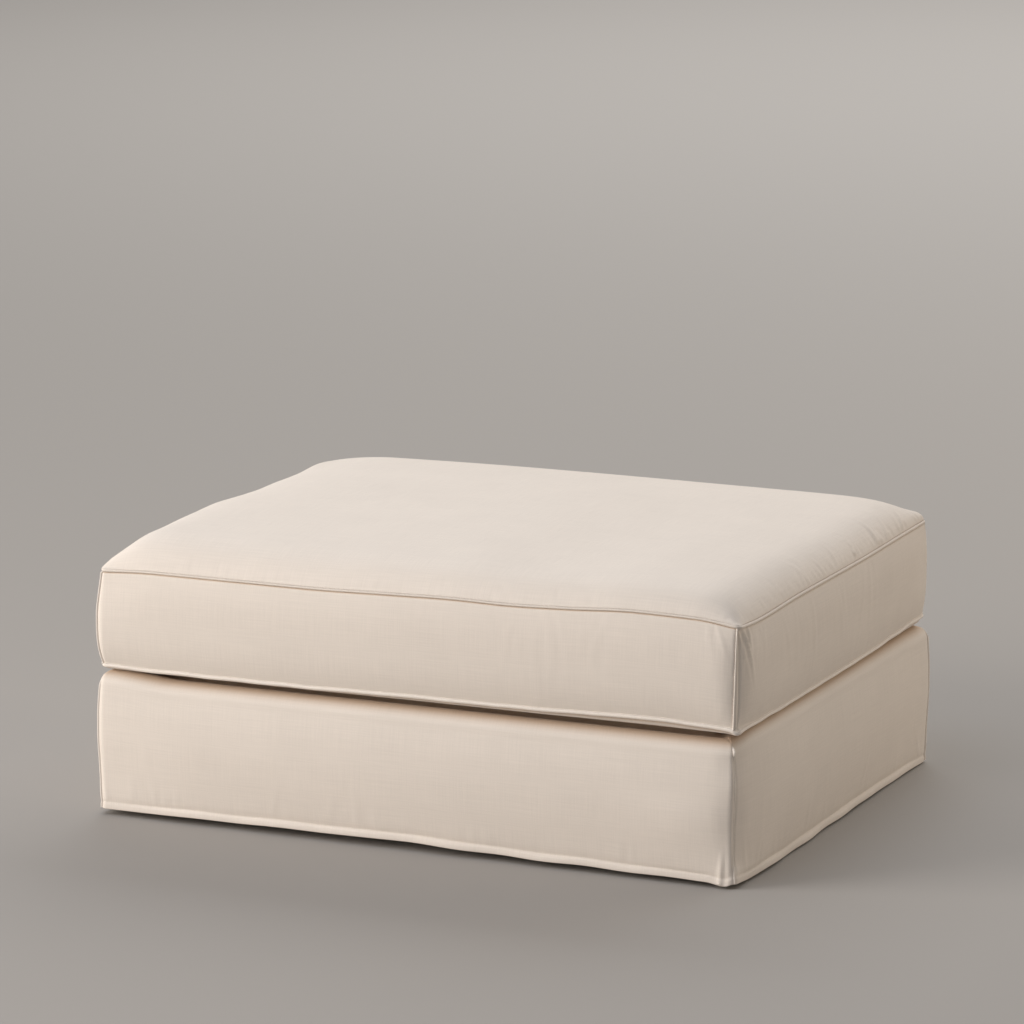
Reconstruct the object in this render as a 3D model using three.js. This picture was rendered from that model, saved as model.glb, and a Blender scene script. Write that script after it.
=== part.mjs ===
// A square-cornered pouf: a loose box cushion with a soft crown on a low padded base, both in one
// natural cotton canvas. Millimetres, +Z up, the front towards -Y, the origin on the floor under the middle.
import * as THREE from "three";

// Driving dimensions.
const LENGTH = 1000; // hem to hem, left to right
const DEPTH = 800; // hem to hem, front to back
const CORNER_RADIUS = 12; // in plan, where two canvas panels meet
const INNER_RADIUS = 4; // of the same corner on an outline well inside
const CLEARANCE = 0.3; // between neighbouring pieces

const FOOT_HEIGHT = 15.7;
const FOOT_RADIUS = 22;
const FOOT_EDGE = 1.5; // chamfer round the sole
const FOOT_INSET = 75; // foot axis to the hem
const FOOT_SIDES = 24;

const UNDERSIDE_Z = FOOT_HEIGHT + CLEARANCE;
const SHOULDER_Z = 193.7; // where the base's faces turn in over the top edge
const SHOULDER_RADIUS = 23;
const DECK_Z = SHOULDER_Z + SHOULDER_RADIUS;
const HEM_HEIGHT = 11; // folded edge to its line of stitches
const HEM_THICKNESS = 3; // two turns of canvas
const HEM_FOLD = 1.5; // height of the turned edge
const HEM_ROUNDING = 0.5; // of its lower edges
const HEM_BEND = { rise: 0.75, share: 0.3 }; // where the hem starts to lean in towards its stitches
const HEM_LINE_INSET = 3.5; // the stitches draw the cloth in
const HEM_CORNER_INSET = 0.5;

const CUSHION_Z = DECK_Z + CLEARANCE;
const WELT_SIDES = 8;
const GROOVE = [5, 4, 3, 2]; // the corners of a welt's section that lie in the cushion, from below
const TOP_WELT = { radius: 2.3, inset: 5 };
const BOTTOM_WELT = { radius: 2.6, inset: 5 };
const CROWN_RISE = 36; // the top panel's quick rise out of its seam
const CROWN_REACH = 17; // how fast it rises
const CROWN_MIDDLE = 6; // what the filling still adds towards the middle

// The upright corner seams, pinched outwards.
const CUSHION_SEAM = { halfWidth: 1.6, height: 2.2 };
const BASE_SEAM = { halfWidth: 1.6, height: 3.6 };
const SEAM_SECTION = [
  { across: -1, up: 0 },
  { across: 1, up: 0 },
  { across: 0.9, up: 0.6 },
  { across: 0.4, up: 1 },
  { across: -0.4, up: 1 },
  { across: -0.9, up: 0.6 },
];

// Where the outline is divided, as distances from a corner. The first mark ends the corner's arc.
const LENGTH_MARKS = [CORNER_RADIUS, 24, 40, 62, 95, 145, 205, 275, 350, 425, LENGTH / 2];
const DEPTH_MARKS = [CORNER_RADIUS, 24, 40, 62, 95, 145, 205, 270, 335, DEPTH / 2];
const ARC_HALFWAY = 1 - Math.SQRT2 * Math.sin(Math.PI / 8); // divides each half of the arc evenly

// Heights that wander along the sides. Each side is walked anticlockwise, seen from above, from its
// first corner: the front from the left, the right side from the front, and so on.
const TOP_SEAM = {
  front: [
    { along: 0, z: 365 },
    { along: 90, z: 368 },
    { along: 330, z: 368 },
    { along: 470, z: 371 },
    { along: 570, z: 373 },
    { along: 640, z: 372 },
    { along: 740, z: 375 },
    { along: 840, z: 380 },
    { along: 930, z: 378.5 },
    { along: 1000, z: 371 },
  ],
  right: [
    { along: 0, z: 371 },
    { along: 85, z: 367 },
    { along: 245, z: 370.5 },
    { along: 500, z: 371.5 },
    { along: 680, z: 375 },
    { along: 800, z: 377 },
  ],
  back: [
    { along: 0, z: 377 },
    { along: 120, z: 379 },
    { along: 600, z: 380 },
    { along: 870, z: 377 },
    { along: 1000, z: 369 },
  ],
  left: [
    { along: 0, z: 369 },
    { along: 90, z: 374 },
    { along: 450, z: 376.5 },
    { along: 720, z: 377 },
    { along: 770, z: 371.5 },
    { along: 800, z: 365 },
  ],
};

const BOTTOM_SEAM = {
  front: [
    { along: 0, z: 225 },
    { along: 100, z: 223.5 },
    { along: 320, z: 224.5 },
    { along: 500, z: 227.5 },
    { along: 700, z: 229.5 },
    { along: 880, z: 232 },
    { along: 980, z: 227.5 },
    { along: 1000, z: 222.5 },
  ],
  right: [
    { along: 0, z: 222.5 },
    { along: 20, z: 223.8 },
    { along: 180, z: 222.5 },
    { along: 520, z: 224 },
    { along: 800, z: 231 },
  ],
  back: [
    { along: 0, z: 231 },
    { along: 200, z: 226 },
    { along: 700, z: 225 },
    { along: 1000, z: 227 },
  ],
  left: [
    { along: 0, z: 227 },
    { along: 250, z: 224 },
    { along: 800, z: 225 },
  ],
};

const HEM_EDGE = {
  front: [
    { along: 0, z: 9 },
    { along: 200, z: 10.5 },
    { along: 490, z: 12.8 },
    { along: 640, z: 10 },
    { along: 790, z: 8.7 },
    { along: 955, z: 7.2 },
    { along: 982, z: 3.5 },
    { along: 1000, z: 7 },
  ],
  right: [
    { along: 0, z: 7 },
    { along: 60, z: 4.5 },
    { along: 270, z: 2.5 },
    { along: 500, z: 3.5 },
    { along: 800, z: 1.8 },
  ],
  back: [
    { along: 0, z: 1.8 },
    { along: 300, z: 5 },
    { along: 650, z: 7 },
    { along: 1000, z: 6 },
  ],
  left: [
    { along: 0, z: 6 },
    { along: 400, z: 8.5 },
    { along: 800, z: 9 },
  ],
};

// The corner that each side starts from, and the side that follows it.
const SIDES = {
  front: { corner: "front_left", next: "right" },
  right: { corner: "front_right", next: "back" },
  back: { corner: "back_right", next: "left" },
  left: { corner: "back_left", next: "front" },
};

// No two corners are alike: how far the cushion's boxing swells past its seams there, how far the
// base stands off the true rectangle, and how many degrees the cushion's upright seam is turned
// off the diagonal at its foot and its head.
const CORNERS = {
  front_left: { swell: 9.5, baseX: -1, baseY: 0, seamFoot: 0, seamHead: 0 },
  front_right: { swell: 3, baseX: -4.5, baseY: 0, seamFoot: -44, seamHead: -10 },
  back_right: { swell: 6, baseX: 2.5, baseY: 1.5, seamFoot: 6, seamHead: 0 },
  back_left: { swell: 8, baseX: -1, baseY: 1, seamFoot: 0, seamHead: 0 },
};
const CORNER_REACH = 120; // how far along the sides a corner's offset is felt
const SIDE_SWELL = 10; // of the boxing in the middle of each side
const SIDE_EVENNESS = 4; // the higher, the nearer to a corner a side stays as it is in its middle
const DIAGONAL = 45; // degrees of a corner's arc on either side of its middle

// The bottom panel from the flat of the deck out to its seam, as shares of the seam's height.
const UNDERSIDE_PROFILE = [
  { inset: 34, share: 0 },
  { inset: 18, share: 0.04 },
  { inset: 9, share: 0.25 },
  { inset: 6.5, share: 0.6 },
];

// The swell up the boxing, as a share of its fullest.
const BOXING_PROFILE = [
  { rise: 0.07, share: 0.38 },
  { rise: 0.19, share: 0.72 },
  { rise: 0.34, share: 0.94 },
  { rise: 0.52, share: 1 },
  { rise: 0.69, share: 0.96 },
  { rise: 0.83, share: 0.72 },
  { rise: 0.94, share: 0.34 },
];

// The base's faces from the hem's stitches up to the shoulder, as distances outside the hem.
const FACE_PROFILE = [
  { rise: 0.05, middle: -1.2, corner: 0.2 },
  { rise: 0.18, middle: 2, corner: 0.7 },
  { rise: 0.36, middle: 5.4, corner: 2 },
  { rise: 0.56, middle: 7.5, corner: 3.7 },
  { rise: 0.76, middle: 7.2, corner: 3.4 },
  { rise: 0.9, middle: 5.2, corner: 2 },
];
const SHOULDER_OUT = { middle: 3, corner: 0.5 };
const SHOULDER_STEPS = 5;
const STEPS_UNDER_CUSHION = 2; // of the shoulder, too close under the cushion for a raised seam

const CANVAS = new THREE.MeshStandardMaterial({ color: 0xe3d7ca, roughness: 0.92, metalness: 0 });
const WELT_CANVAS = new THREE.MeshStandardMaterial({ color: 0xe8dccf, roughness: 0.9, metalness: 0 });
const FOOT_PLASTIC = new THREE.MeshStandardMaterial({ color: 0x1d1c1b, roughness: 0.55, metalness: 0 });

// A value read smoothly from a table, with level ends and no overshoot between its rows.
function readTable(rows, key, value, at) {
  const last = rows[rows.length - 1];
  if (at >= last[key]) return last[value];
  const upper = rows.findIndex((row) => row[key] > at);
  if (upper <= 0) return rows[0][value];
  const from = rows[upper - 1];
  const to = rows[upper];
  const share = THREE.MathUtils.smoothstep(at, from[key], to[key]);
  return THREE.MathUtils.lerp(from[value], to[value], share);
}

// One side's coordinates from corner to corner, on an outline with the given half side and radius.
function divideSide(half, radius, marks) {
  const stretch = (half - radius) / (marks[marks.length - 1] - CORNER_RADIUS);
  const distances = [0, radius * ARC_HALFWAY];
  for (const mark of marks) distances.push(radius + (mark - CORNER_RADIUS) * stretch);
  const firstHalf = distances.map((distance) => distance - half);
  const secondHalf = firstHalf.slice(0, -1).reverse();
  return [...firstHalf, ...secondHalf.map((coordinate) => -coordinate)];
}

// A grid of plan points on a rounded rectangle that lies a distance inside the hem's outline.
function planGrid(inset) {
  const radius = Math.max(CORNER_RADIUS - inset, INNER_RADIUS);
  const halfX = LENGTH / 2 - inset;
  const halfY = DEPTH / 2 - inset;
  const columns = divideSide(halfX, radius, LENGTH_MARKS);
  const rows = divideSide(halfY, radius, DEPTH_MARKS);
  return columns.map((x) =>
    rows.map((y) => {
      const u = (Math.abs(x) - halfX + radius) / radius;
      const v = (Math.abs(y) - halfY + radius) / radius;
      if (u <= 0 || v <= 0) return new THREE.Vector2(x, y);
      return new THREE.Vector2(
        Math.sign(x) * (halfX - radius + radius * u * Math.sqrt(1 - (v * v) / 2)),
        Math.sign(y) * (halfY - radius + radius * v * Math.sqrt(1 - (u * u) / 2)),
      );
    }),
  );
}

// The grid's rim, walked once round: each stop's grid place, side and distance along that side.
function walkRim() {
  const columns = divideSide(LENGTH / 2, CORNER_RADIUS, LENGTH_MARKS);
  const rows = divideSide(DEPTH / 2, CORNER_RADIUS, DEPTH_MARKS);
  const lastColumn = columns.length - 1;
  const lastRow = rows.length - 1;
  const stops = [];
  for (let i = 0; i < lastColumn; i++)
    stops.push({ i, j: 0, side: "front", along: columns[i] + LENGTH / 2, length: LENGTH });
  for (let j = 0; j < lastRow; j++)
    stops.push({ i: lastColumn, j, side: "right", along: rows[j] + DEPTH / 2, length: DEPTH });
  for (let i = lastColumn; i > 0; i--)
    stops.push({ i, j: lastRow, side: "back", along: LENGTH / 2 - columns[i], length: LENGTH });
  for (let j = lastRow; j > 0; j--)
    stops.push({ i: 0, j, side: "left", along: DEPTH / 2 - rows[j], length: DEPTH });
  return stops;
}

const RIM = walkRim();
const LAST_COLUMN = 2 * LENGTH_MARKS.length + 2;
const LAST_ROW = 2 * DEPTH_MARKS.length + 2;
const CORNER_STOPS = {
  front_left: 0,
  front_right: LAST_COLUMN,
  back_right: LAST_COLUMN + LAST_ROW,
  back_left: 2 * LAST_COLUMN + LAST_ROW,
};

// The direction straight out of the outline at a stop.
function outwardAt(stop) {
  const outer = planGrid(0)[stop.i][stop.j];
  const x = Math.max(Math.abs(outer.x) - LENGTH / 2 + CORNER_RADIUS, 0) * Math.sign(outer.x);
  const y = Math.max(Math.abs(outer.y) - DEPTH / 2 + CORNER_RADIUS, 0) * Math.sign(outer.y);
  return new THREE.Vector2(x, y).normalize();
}

const OUTWARD = RIM.map(outwardAt);

// How near a stop is to the middle of its side: 0 at a corner, 1 along most of the side.
function middleness(stop) {
  return 1 - (2 * (stop.along / stop.length) - 1) ** SIDE_EVENNESS;
}

function heightOf(seam, stop) {
  return readTable(seam[stop.side], "along", "z", stop.along);
}

// The two corners that a stop's side runs between.
function cornersOf(stop) {
  const { corner, next } = SIDES[stop.side];
  return [CORNERS[corner], CORNERS[SIDES[next].corner]];
}

function boxingSwell(stop) {
  const [first, second] = cornersOf(stop);
  const corner = THREE.MathUtils.lerp(first.swell, second.swell, stop.along / stop.length);
  return THREE.MathUtils.lerp(corner, SIDE_SWELL, middleness(stop));
}

// How far the base stands off the true rectangle at a stop.
function baseOffset(stop) {
  const [first, second] = cornersOf(stop);
  const nearFirst = 1 - THREE.MathUtils.smoothstep(stop.along, 0, CORNER_REACH);
  const nearSecond = 1 - THREE.MathUtils.smoothstep(stop.length - stop.along, 0, CORNER_REACH);
  return new THREE.Vector3(
    first.baseX * nearFirst + second.baseX * nearSecond,
    first.baseY * nearFirst + second.baseY * nearSecond,
    0,
  );
}

// A ring of points round the object: an inset outline, pushed out and lifted stop by stop.
function ring(inset, out, height) {
  const grid = planGrid(inset);
  return RIM.map((stop, k) => {
    const flat = grid[stop.i][stop.j].clone().addScaledVector(OUTWARD[k], out(stop));
    return new THREE.Vector3(flat.x, flat.y, height(stop));
  });
}

// A corner of a welt's section, numbered anticlockwise from the outer side, or of the groove that
// holds the welt, which is wider all round.
function sectionPoint(welt, number, wider) {
  const angle = (number + 0.5) * ((2 * Math.PI) / WELT_SIDES);
  const radius = welt.radius + wider / Math.cos(Math.PI / WELT_SIDES);
  return { out: radius * Math.cos(angle), up: radius * Math.sin(angle) };
}

// A ring of the base, whose corners stand off the true rectangle.
function baseRing(inset, out, height) {
  return ring(inset, out, height).map((point, k) => point.add(baseOffset(RIM[k])));
}

function grooveRing(welt, seam, number) {
  const point = sectionPoint(welt, number, CLEARANCE);
  return ring(welt.inset, () => point.out, (stop) => heightOf(seam, stop) + point.up);
}

function geometryOf(points, triangles) {
  const geometry = new THREE.BufferGeometry().setFromPoints(points);
  geometry.setIndex(triangles);
  geometry.computeVertexNormals();
  return geometry;
}

// A solid skinned over rings that are stacked upwards. Its floor is flat, and so is its roof,
// unless the roof is given as a grid of points inside the last ring.
function solidOfRings(rings, roof) {
  const stops = RIM.length;
  const points = rings.flat();
  const triangles = [];
  for (let level = 0; level + 1 < rings.length; level++)
    for (let k = 0; k < stops; k++) {
      const next = (k + 1) % stops;
      const lower = level * stops;
      const upper = lower + stops;
      triangles.push(lower + k, lower + next, upper + next, lower + k, upper + next, upper + k);
    }
  addFan(points, triangles, 0, rings[0], false);
  const rimStart = (rings.length - 1) * stops;
  if (roof) addGrid(points, triangles, rimStart, roof);
  else addFan(points, triangles, rimStart, rings[rings.length - 1], true);
  return geometryOf(points, triangles);
}

// Closes a level ring with triangles that meet in its middle.
function addFan(points, triangles, start, closedRing, facesUp) {
  const middle = points.push(new THREE.Vector3(0, 0, closedRing[0].z)) - 1;
  closedRing.forEach((point, k) => {
    const here = start + k;
    const next = start + ((k + 1) % closedRing.length);
    if (facesUp) triangles.push(middle, here, next);
    else triangles.push(middle, next, here);
  });
}

// Closes a ring with a grid of points, whose rim is the ring itself.
function addGrid(points, triangles, rimStart, roof) {
  const numbers = roof.map((column) => column.map(() => -1));
  RIM.forEach((stop, k) => {
    numbers[stop.i][stop.j] = rimStart + k;
  });
  roof.forEach((column, i) =>
    column.forEach((point, j) => {
      if (numbers[i][j] < 0) numbers[i][j] = points.push(point) - 1;
    }),
  );
  for (let i = 0; i + 1 < numbers.length; i++)
    for (let j = 0; j + 1 < numbers[i].length; j++) {
      const [a, b] = [numbers[i][j], numbers[i + 1][j]];
      const [c, d] = [numbers[i + 1][j + 1], numbers[i][j + 1]];
      triangles.push(a, b, c, a, c, d);
    }
}

// The crowned top panel inside its seam: the seam's height carried across, and the filling's rise.
function crownGrid(rimRing, inset) {
  const grid = planGrid(inset);
  const seamZ = grid.map((column) => column.map(() => 0));
  RIM.forEach((stop, k) => {
    seamZ[stop.i][stop.j] = rimRing[k].z;
  });
  const halfX = LENGTH / 2 - inset;
  const halfY = DEPTH / 2 - inset;
  const rise = (distance) => 1 - Math.exp(-distance / CROWN_REACH);
  return grid.map((column, i) =>
    column.map((point, j) => {
      const u = (point.x / halfX + 1) / 2;
      const v = (point.y / halfY + 1) / 2;
      const front = seamZ[i][0];
      const back = seamZ[i][LAST_ROW];
      const left = seamZ[0][j];
      const right = seamZ[LAST_COLUMN][j];
      const cornersInFront = THREE.MathUtils.lerp(seamZ[0][0], seamZ[LAST_COLUMN][0], u);
      const cornersBehind = THREE.MathUtils.lerp(seamZ[0][LAST_ROW], seamZ[LAST_COLUMN][LAST_ROW], u);
      const carried =
        THREE.MathUtils.lerp(front, back, v) +
        THREE.MathUtils.lerp(left, right, u) -
        THREE.MathUtils.lerp(cornersInFront, cornersBehind, v);
      const quick = rise(halfX - Math.abs(point.x)) * rise(halfY - Math.abs(point.y));
      const slow = (1 - (2 * u - 1) ** 2) * (1 - (2 * v - 1) ** 2);
      return new THREE.Vector3(point.x, point.y, carried + CROWN_RISE * quick + CROWN_MIDDLE * slow);
    }),
  );
}

// The distance outside the hem's outline of the cushion's boxing, at a share of its rise.
function boxingOut(stop, rise, share) {
  const seamInset = THREE.MathUtils.lerp(BOTTOM_WELT.inset, TOP_WELT.inset, rise);
  return share * boxingSwell(stop) - seamInset;
}

const LOWER_LIP = sectionPoint(BOTTOM_WELT, GROOVE[3], CLEARANCE).up;
const UPPER_LIP = sectionPoint(TOP_WELT, GROOVE[0], CLEARANCE).up;

function boxingHeight(stop, rise) {
  const lower = heightOf(BOTTOM_SEAM, stop) + LOWER_LIP;
  const upper = heightOf(TOP_SEAM, stop) + UPPER_LIP;
  return THREE.MathUtils.lerp(lower, upper, rise);
}

// The cushion: flat where it lies on the deck, drawn in at both seams, swollen between them.
function makeCushion() {
  const lipZ = (stop) => heightOf(BOTTOM_SEAM, stop) - LOWER_LIP;
  const rings = UNDERSIDE_PROFILE.map(({ inset, share }) =>
    ring(inset, () => 0, (stop) => THREE.MathUtils.lerp(CUSHION_Z, lipZ(stop), share)),
  );
  for (const number of GROOVE) rings.push(grooveRing(BOTTOM_WELT, BOTTOM_SEAM, number));
  for (const { rise, share } of BOXING_PROFILE)
    rings.push(
      ring(0, (stop) => boxingOut(stop, rise, share), (stop) => boxingHeight(stop, rise)),
    );
  for (const number of GROOVE) rings.push(grooveRing(TOP_WELT, TOP_SEAM, number));
  const rimInset = TOP_WELT.inset - sectionPoint(TOP_WELT, GROOVE[3], CLEARANCE).out;
  return solidOfRings(rings, crownGrid(rings[rings.length - 1], rimInset));
}

// A welt: a cord of canvas, laid in its groove all the way round.
function makeWelt(welt, seam) {
  const grid = planGrid(welt.inset);
  const points = [];
  const triangles = [];
  RIM.forEach((stop, k) => {
    const z = heightOf(seam, stop);
    for (let number = 0; number < WELT_SIDES; number++) {
      const { out, up } = sectionPoint(welt, number, 0);
      const flat = grid[stop.i][stop.j].clone().addScaledVector(OUTWARD[k], out);
      points.push(new THREE.Vector3(flat.x, flat.y, z + up));
    }
  });
  for (let k = 0; k < RIM.length; k++)
    for (let number = 0; number < WELT_SIDES; number++) {
      const here = k * WELT_SIDES;
      const next = ((k + 1) % RIM.length) * WELT_SIDES;
      const after = (number + 1) % WELT_SIDES;
      triangles.push(here + number, next + number, next + after);
      triangles.push(here + number, next + after, here + after);
    }
  return geometryOf(points, triangles);
}

// A raised seam along a path of points, each with the direction that faces away from the cloth.
function makeRidge(path, { halfWidth, height }) {
  const points = [];
  const triangles = [];
  path.forEach(({ point, away }, step) => {
    const before = path[Math.max(step - 1, 0)].point;
    const after = path[Math.min(step + 1, path.length - 1)].point;
    const run = after.clone().sub(before).normalize();
    const across = new THREE.Vector3().crossVectors(run, away).normalize();
    for (const corner of SEAM_SECTION)
      points.push(
        point
          .clone()
          .addScaledVector(across, corner.across * halfWidth)
          .addScaledVector(away, CLEARANCE + corner.up * height),
      );
  });
  const sides = SEAM_SECTION.length;
  for (let step = 0; step + 1 < path.length; step++)
    for (let number = 0; number < sides; number++) {
      const here = step * sides;
      const next = here + sides;
      const after = (number + 1) % sides;
      triangles.push(here + number, next + after, here + after);
      triangles.push(here + number, next + number, next + after);
    }
  const end = (path.length - 1) * sides;
  for (let number = 1; number + 1 < sides; number++) {
    triangles.push(0, number, number + 1);
    triangles.push(end, end + number + 1, end + number);
  }
  return geometryOf(points, triangles);
}

// The stop on a corner's arc that lies a number of degrees past the diagonal, or short of it.
function stopOnArc(name, degrees) {
  const k = CORNER_STOPS[name];
  const distance = (CORNER_RADIUS * Math.abs(degrees)) / DIAGONAL;
  if (degrees >= 0) return { ...RIM[k], along: distance };
  const before = RIM[(k + RIM.length - 1) % RIM.length];
  return { ...before, along: before.length - distance };
}

// A cushion corner seam runs from one welt to the other round the corner's arc.
function cushionSeamPath(name) {
  const { seamFoot, seamHead } = CORNERS[name];
  const outward = OUTWARD[CORNER_STOPS[name]];
  const centre = new THREE.Vector2(
    Math.sign(outward.x) * (LENGTH / 2 - CORNER_RADIUS),
    Math.sign(outward.y) * (DEPTH / 2 - CORNER_RADIUS),
  );
  const footOut = sectionPoint(BOTTOM_WELT, GROOVE[3], CLEARANCE).out - BOTTOM_WELT.inset;
  const headOut = sectionPoint(TOP_WELT, GROOVE[0], CLEARANCE).out - TOP_WELT.inset;
  const levels = [{ rise: 0, out: () => footOut }];
  for (const { rise, share } of BOXING_PROFILE)
    levels.push({ rise, out: (stop) => boxingOut(stop, rise, share) });
  levels.push({ rise: 1, out: () => headOut });
  return levels.map(({ rise, out }) => {
    const degrees = THREE.MathUtils.lerp(seamFoot, seamHead, rise);
    const stop = stopOnArc(name, degrees);
    const away = outward.clone().rotateAround(new THREE.Vector2(), THREE.MathUtils.degToRad(degrees));
    const flat = centre.clone().addScaledVector(away, CORNER_RADIUS + out(stop));
    return {
      point: new THREE.Vector3(flat.x, flat.y, boxingHeight(stop, rise)),
      away: new THREE.Vector3(away.x, away.y, 0),
    };
  });
}

// The base's outer rings: the hem, its drawn-in line of stitches, the faces and the rounded
// shoulder up to the deck.
function baseWallRings() {
  const hemZ = (stop) => heightOf(HEM_EDGE, stop);
  const lineOut = (stop) =>
    -THREE.MathUtils.lerp(HEM_CORNER_INSET, HEM_LINE_INSET, middleness(stop));
  const rings = [
    baseRing(0, () => 0, (stop) => hemZ(stop) + HEM_FOLD),
    baseRing(
      0,
      (stop) => HEM_BEND.share * lineOut(stop),
      (stop) => hemZ(stop) + HEM_BEND.rise * HEM_HEIGHT,
    ),
    baseRing(0, lineOut, (stop) => hemZ(stop) + HEM_HEIGHT),
  ];
  for (const { rise, middle, corner } of FACE_PROFILE)
    rings.push(
      baseRing(
        0,
        (stop) => THREE.MathUtils.lerp(corner, middle, middleness(stop)),
        (stop) => THREE.MathUtils.lerp(hemZ(stop) + HEM_HEIGHT, SHOULDER_Z, rise),
      ),
    );
  for (let step = 0; step <= SHOULDER_STEPS; step++) {
    const angle = (step / SHOULDER_STEPS) * (Math.PI / 2);
    const out = (stop) =>
      THREE.MathUtils.lerp(SHOULDER_OUT.corner, SHOULDER_OUT.middle, middleness(stop)) * Math.cos(angle);
    const inset = SHOULDER_RADIUS * (1 - Math.cos(angle));
    rings.push(baseRing(inset, out, () => SHOULDER_Z + SHOULDER_RADIUS * Math.sin(angle)));
  }
  return rings;
}

// The padded base in its cover, with the cover's hem hanging a little below the underside.
function makeBase() {
  const hemZ = (stop) => heightOf(HEM_EDGE, stop);
  return solidOfRings([
    baseRing(HEM_THICKNESS + HEM_LINE_INSET, () => 0, () => UNDERSIDE_Z),
    baseRing(HEM_THICKNESS, () => 0, (stop) => hemZ(stop) + HEM_ROUNDING),
    baseRing(HEM_ROUNDING, () => 0, hemZ),
    ...baseWallRings(),
  ]);
}

// A base corner seam climbs the corner from the hem's edge and turns in over the shoulder.
function baseSeamPath(name) {
  const k = CORNER_STOPS[name];
  const diagonal = new THREE.Vector3(OUTWARD[k].x, OUTWARD[k].y, 0);
  const rings = baseWallRings();
  const shoulderStart = rings.length - 1 - SHOULDER_STEPS;
  return rings.slice(0, -STEPS_UNDER_CUSHION).map((level, step) => {
    const angle = Math.max(step - shoulderStart, 0) * (Math.PI / 2 / SHOULDER_STEPS);
    const away = diagonal.clone().multiplyScalar(Math.cos(angle));
    away.z = Math.sin(angle);
    return { point: level[k], away };
  });
}

function makeFoot() {
  const profile = [
    new THREE.Vector2(0, 0),
    new THREE.Vector2(FOOT_RADIUS - FOOT_EDGE, 0),
    new THREE.Vector2(FOOT_RADIUS, FOOT_EDGE),
    new THREE.Vector2(FOOT_RADIUS, FOOT_HEIGHT),
    new THREE.Vector2(0, FOOT_HEIGHT),
  ];
  return new THREE.LatheGeometry(profile, FOOT_SIDES).rotateX(Math.PI / 2);
}

const pouf = new THREE.Group();

function addPiece(name, geometry, material, parent = pouf) {
  const mesh = new THREE.Mesh(geometry, material);
  mesh.name = name;
  parent.add(mesh);
  return mesh;
}

const cushion = new THREE.Group();
pouf.add(cushion);
addPiece("cushion", makeCushion(), CANVAS, cushion);
addPiece("cushion_top_welt", makeWelt(TOP_WELT, TOP_SEAM), WELT_CANVAS, cushion);
addPiece("cushion_bottom_welt", makeWelt(BOTTOM_WELT, BOTTOM_SEAM), WELT_CANVAS, cushion);
for (const name of Object.keys(CORNERS))
  addPiece(`cushion_seam_${name}`, makeRidge(cushionSeamPath(name), CUSHION_SEAM), WELT_CANVAS, cushion);

const base = new THREE.Group();
pouf.add(base);
addPiece("base", makeBase(), CANVAS, base);
for (const name of Object.keys(CORNERS))
  addPiece(`base_seam_${name}`, makeRidge(baseSeamPath(name), BASE_SEAM), WELT_CANVAS, base);

for (const name of Object.keys(CORNERS)) {
  const outward = OUTWARD[CORNER_STOPS[name]];
  const foot = addPiece(`foot_${name}`, makeFoot(), FOOT_PLASTIC, base);
  foot.position.x = Math.sign(outward.x) * (LENGTH / 2 - FOOT_INSET);
  foot.position.y = Math.sign(outward.y) * (DEPTH / 2 - FOOT_INSET);
}

export default pouf;
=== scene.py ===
"""The looks of a square-cornered pouf in natural canvas: a loose box cushion on a low padded base.

Metres, +Z up, the front towards -Y, the origin on the floor under the middle.
"""

import math

import bpy
import numpy as np
from mathutils import Euler, Matrix, Vector


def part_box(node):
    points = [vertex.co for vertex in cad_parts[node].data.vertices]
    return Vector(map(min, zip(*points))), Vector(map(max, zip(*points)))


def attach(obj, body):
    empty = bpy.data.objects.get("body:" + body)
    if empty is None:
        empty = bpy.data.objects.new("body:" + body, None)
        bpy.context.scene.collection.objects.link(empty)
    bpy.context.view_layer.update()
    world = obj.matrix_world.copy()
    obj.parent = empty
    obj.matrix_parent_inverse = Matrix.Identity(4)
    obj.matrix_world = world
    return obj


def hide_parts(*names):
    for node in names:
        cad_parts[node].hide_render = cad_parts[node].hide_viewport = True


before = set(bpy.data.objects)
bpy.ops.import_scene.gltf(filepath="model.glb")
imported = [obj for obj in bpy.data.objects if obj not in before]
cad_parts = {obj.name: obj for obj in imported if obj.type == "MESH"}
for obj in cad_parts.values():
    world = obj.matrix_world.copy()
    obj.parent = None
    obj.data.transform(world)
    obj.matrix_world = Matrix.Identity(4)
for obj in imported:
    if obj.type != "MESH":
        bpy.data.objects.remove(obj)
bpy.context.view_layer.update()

# The camera
# It stands well back with a long lens, a little above the pouf and to the right of its front.
CAMERA_PLACE = (2.668, -6.141, 1.737)
CAMERA_HEADING = math.radians(23.62)
CAMERA_DIP = math.radians(11.12)
CAMERA_ROLL = math.radians(0.22)
CAMERA_LENS = 161.7
CAMERA_FAR = 200


def placed(name, data):
    """An object of the scene that holds a camera, a light or a mesh."""
    item = bpy.data.objects.new(name, data)
    bpy.context.scene.collection.objects.link(item)
    return item


camera = placed("camera", bpy.data.cameras.new("camera"))
aim = Euler((math.pi / 2 - CAMERA_DIP, 0, CAMERA_HEADING)).to_matrix().to_4x4()
camera.matrix_world = (
    Matrix.Translation(CAMERA_PLACE) @ aim @ Matrix.Rotation(CAMERA_ROLL, 4, "Z")
)
camera.data.lens = CAMERA_LENS
camera.data.clip_end = CAMERA_FAR
bpy.context.scene.camera = camera


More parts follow.
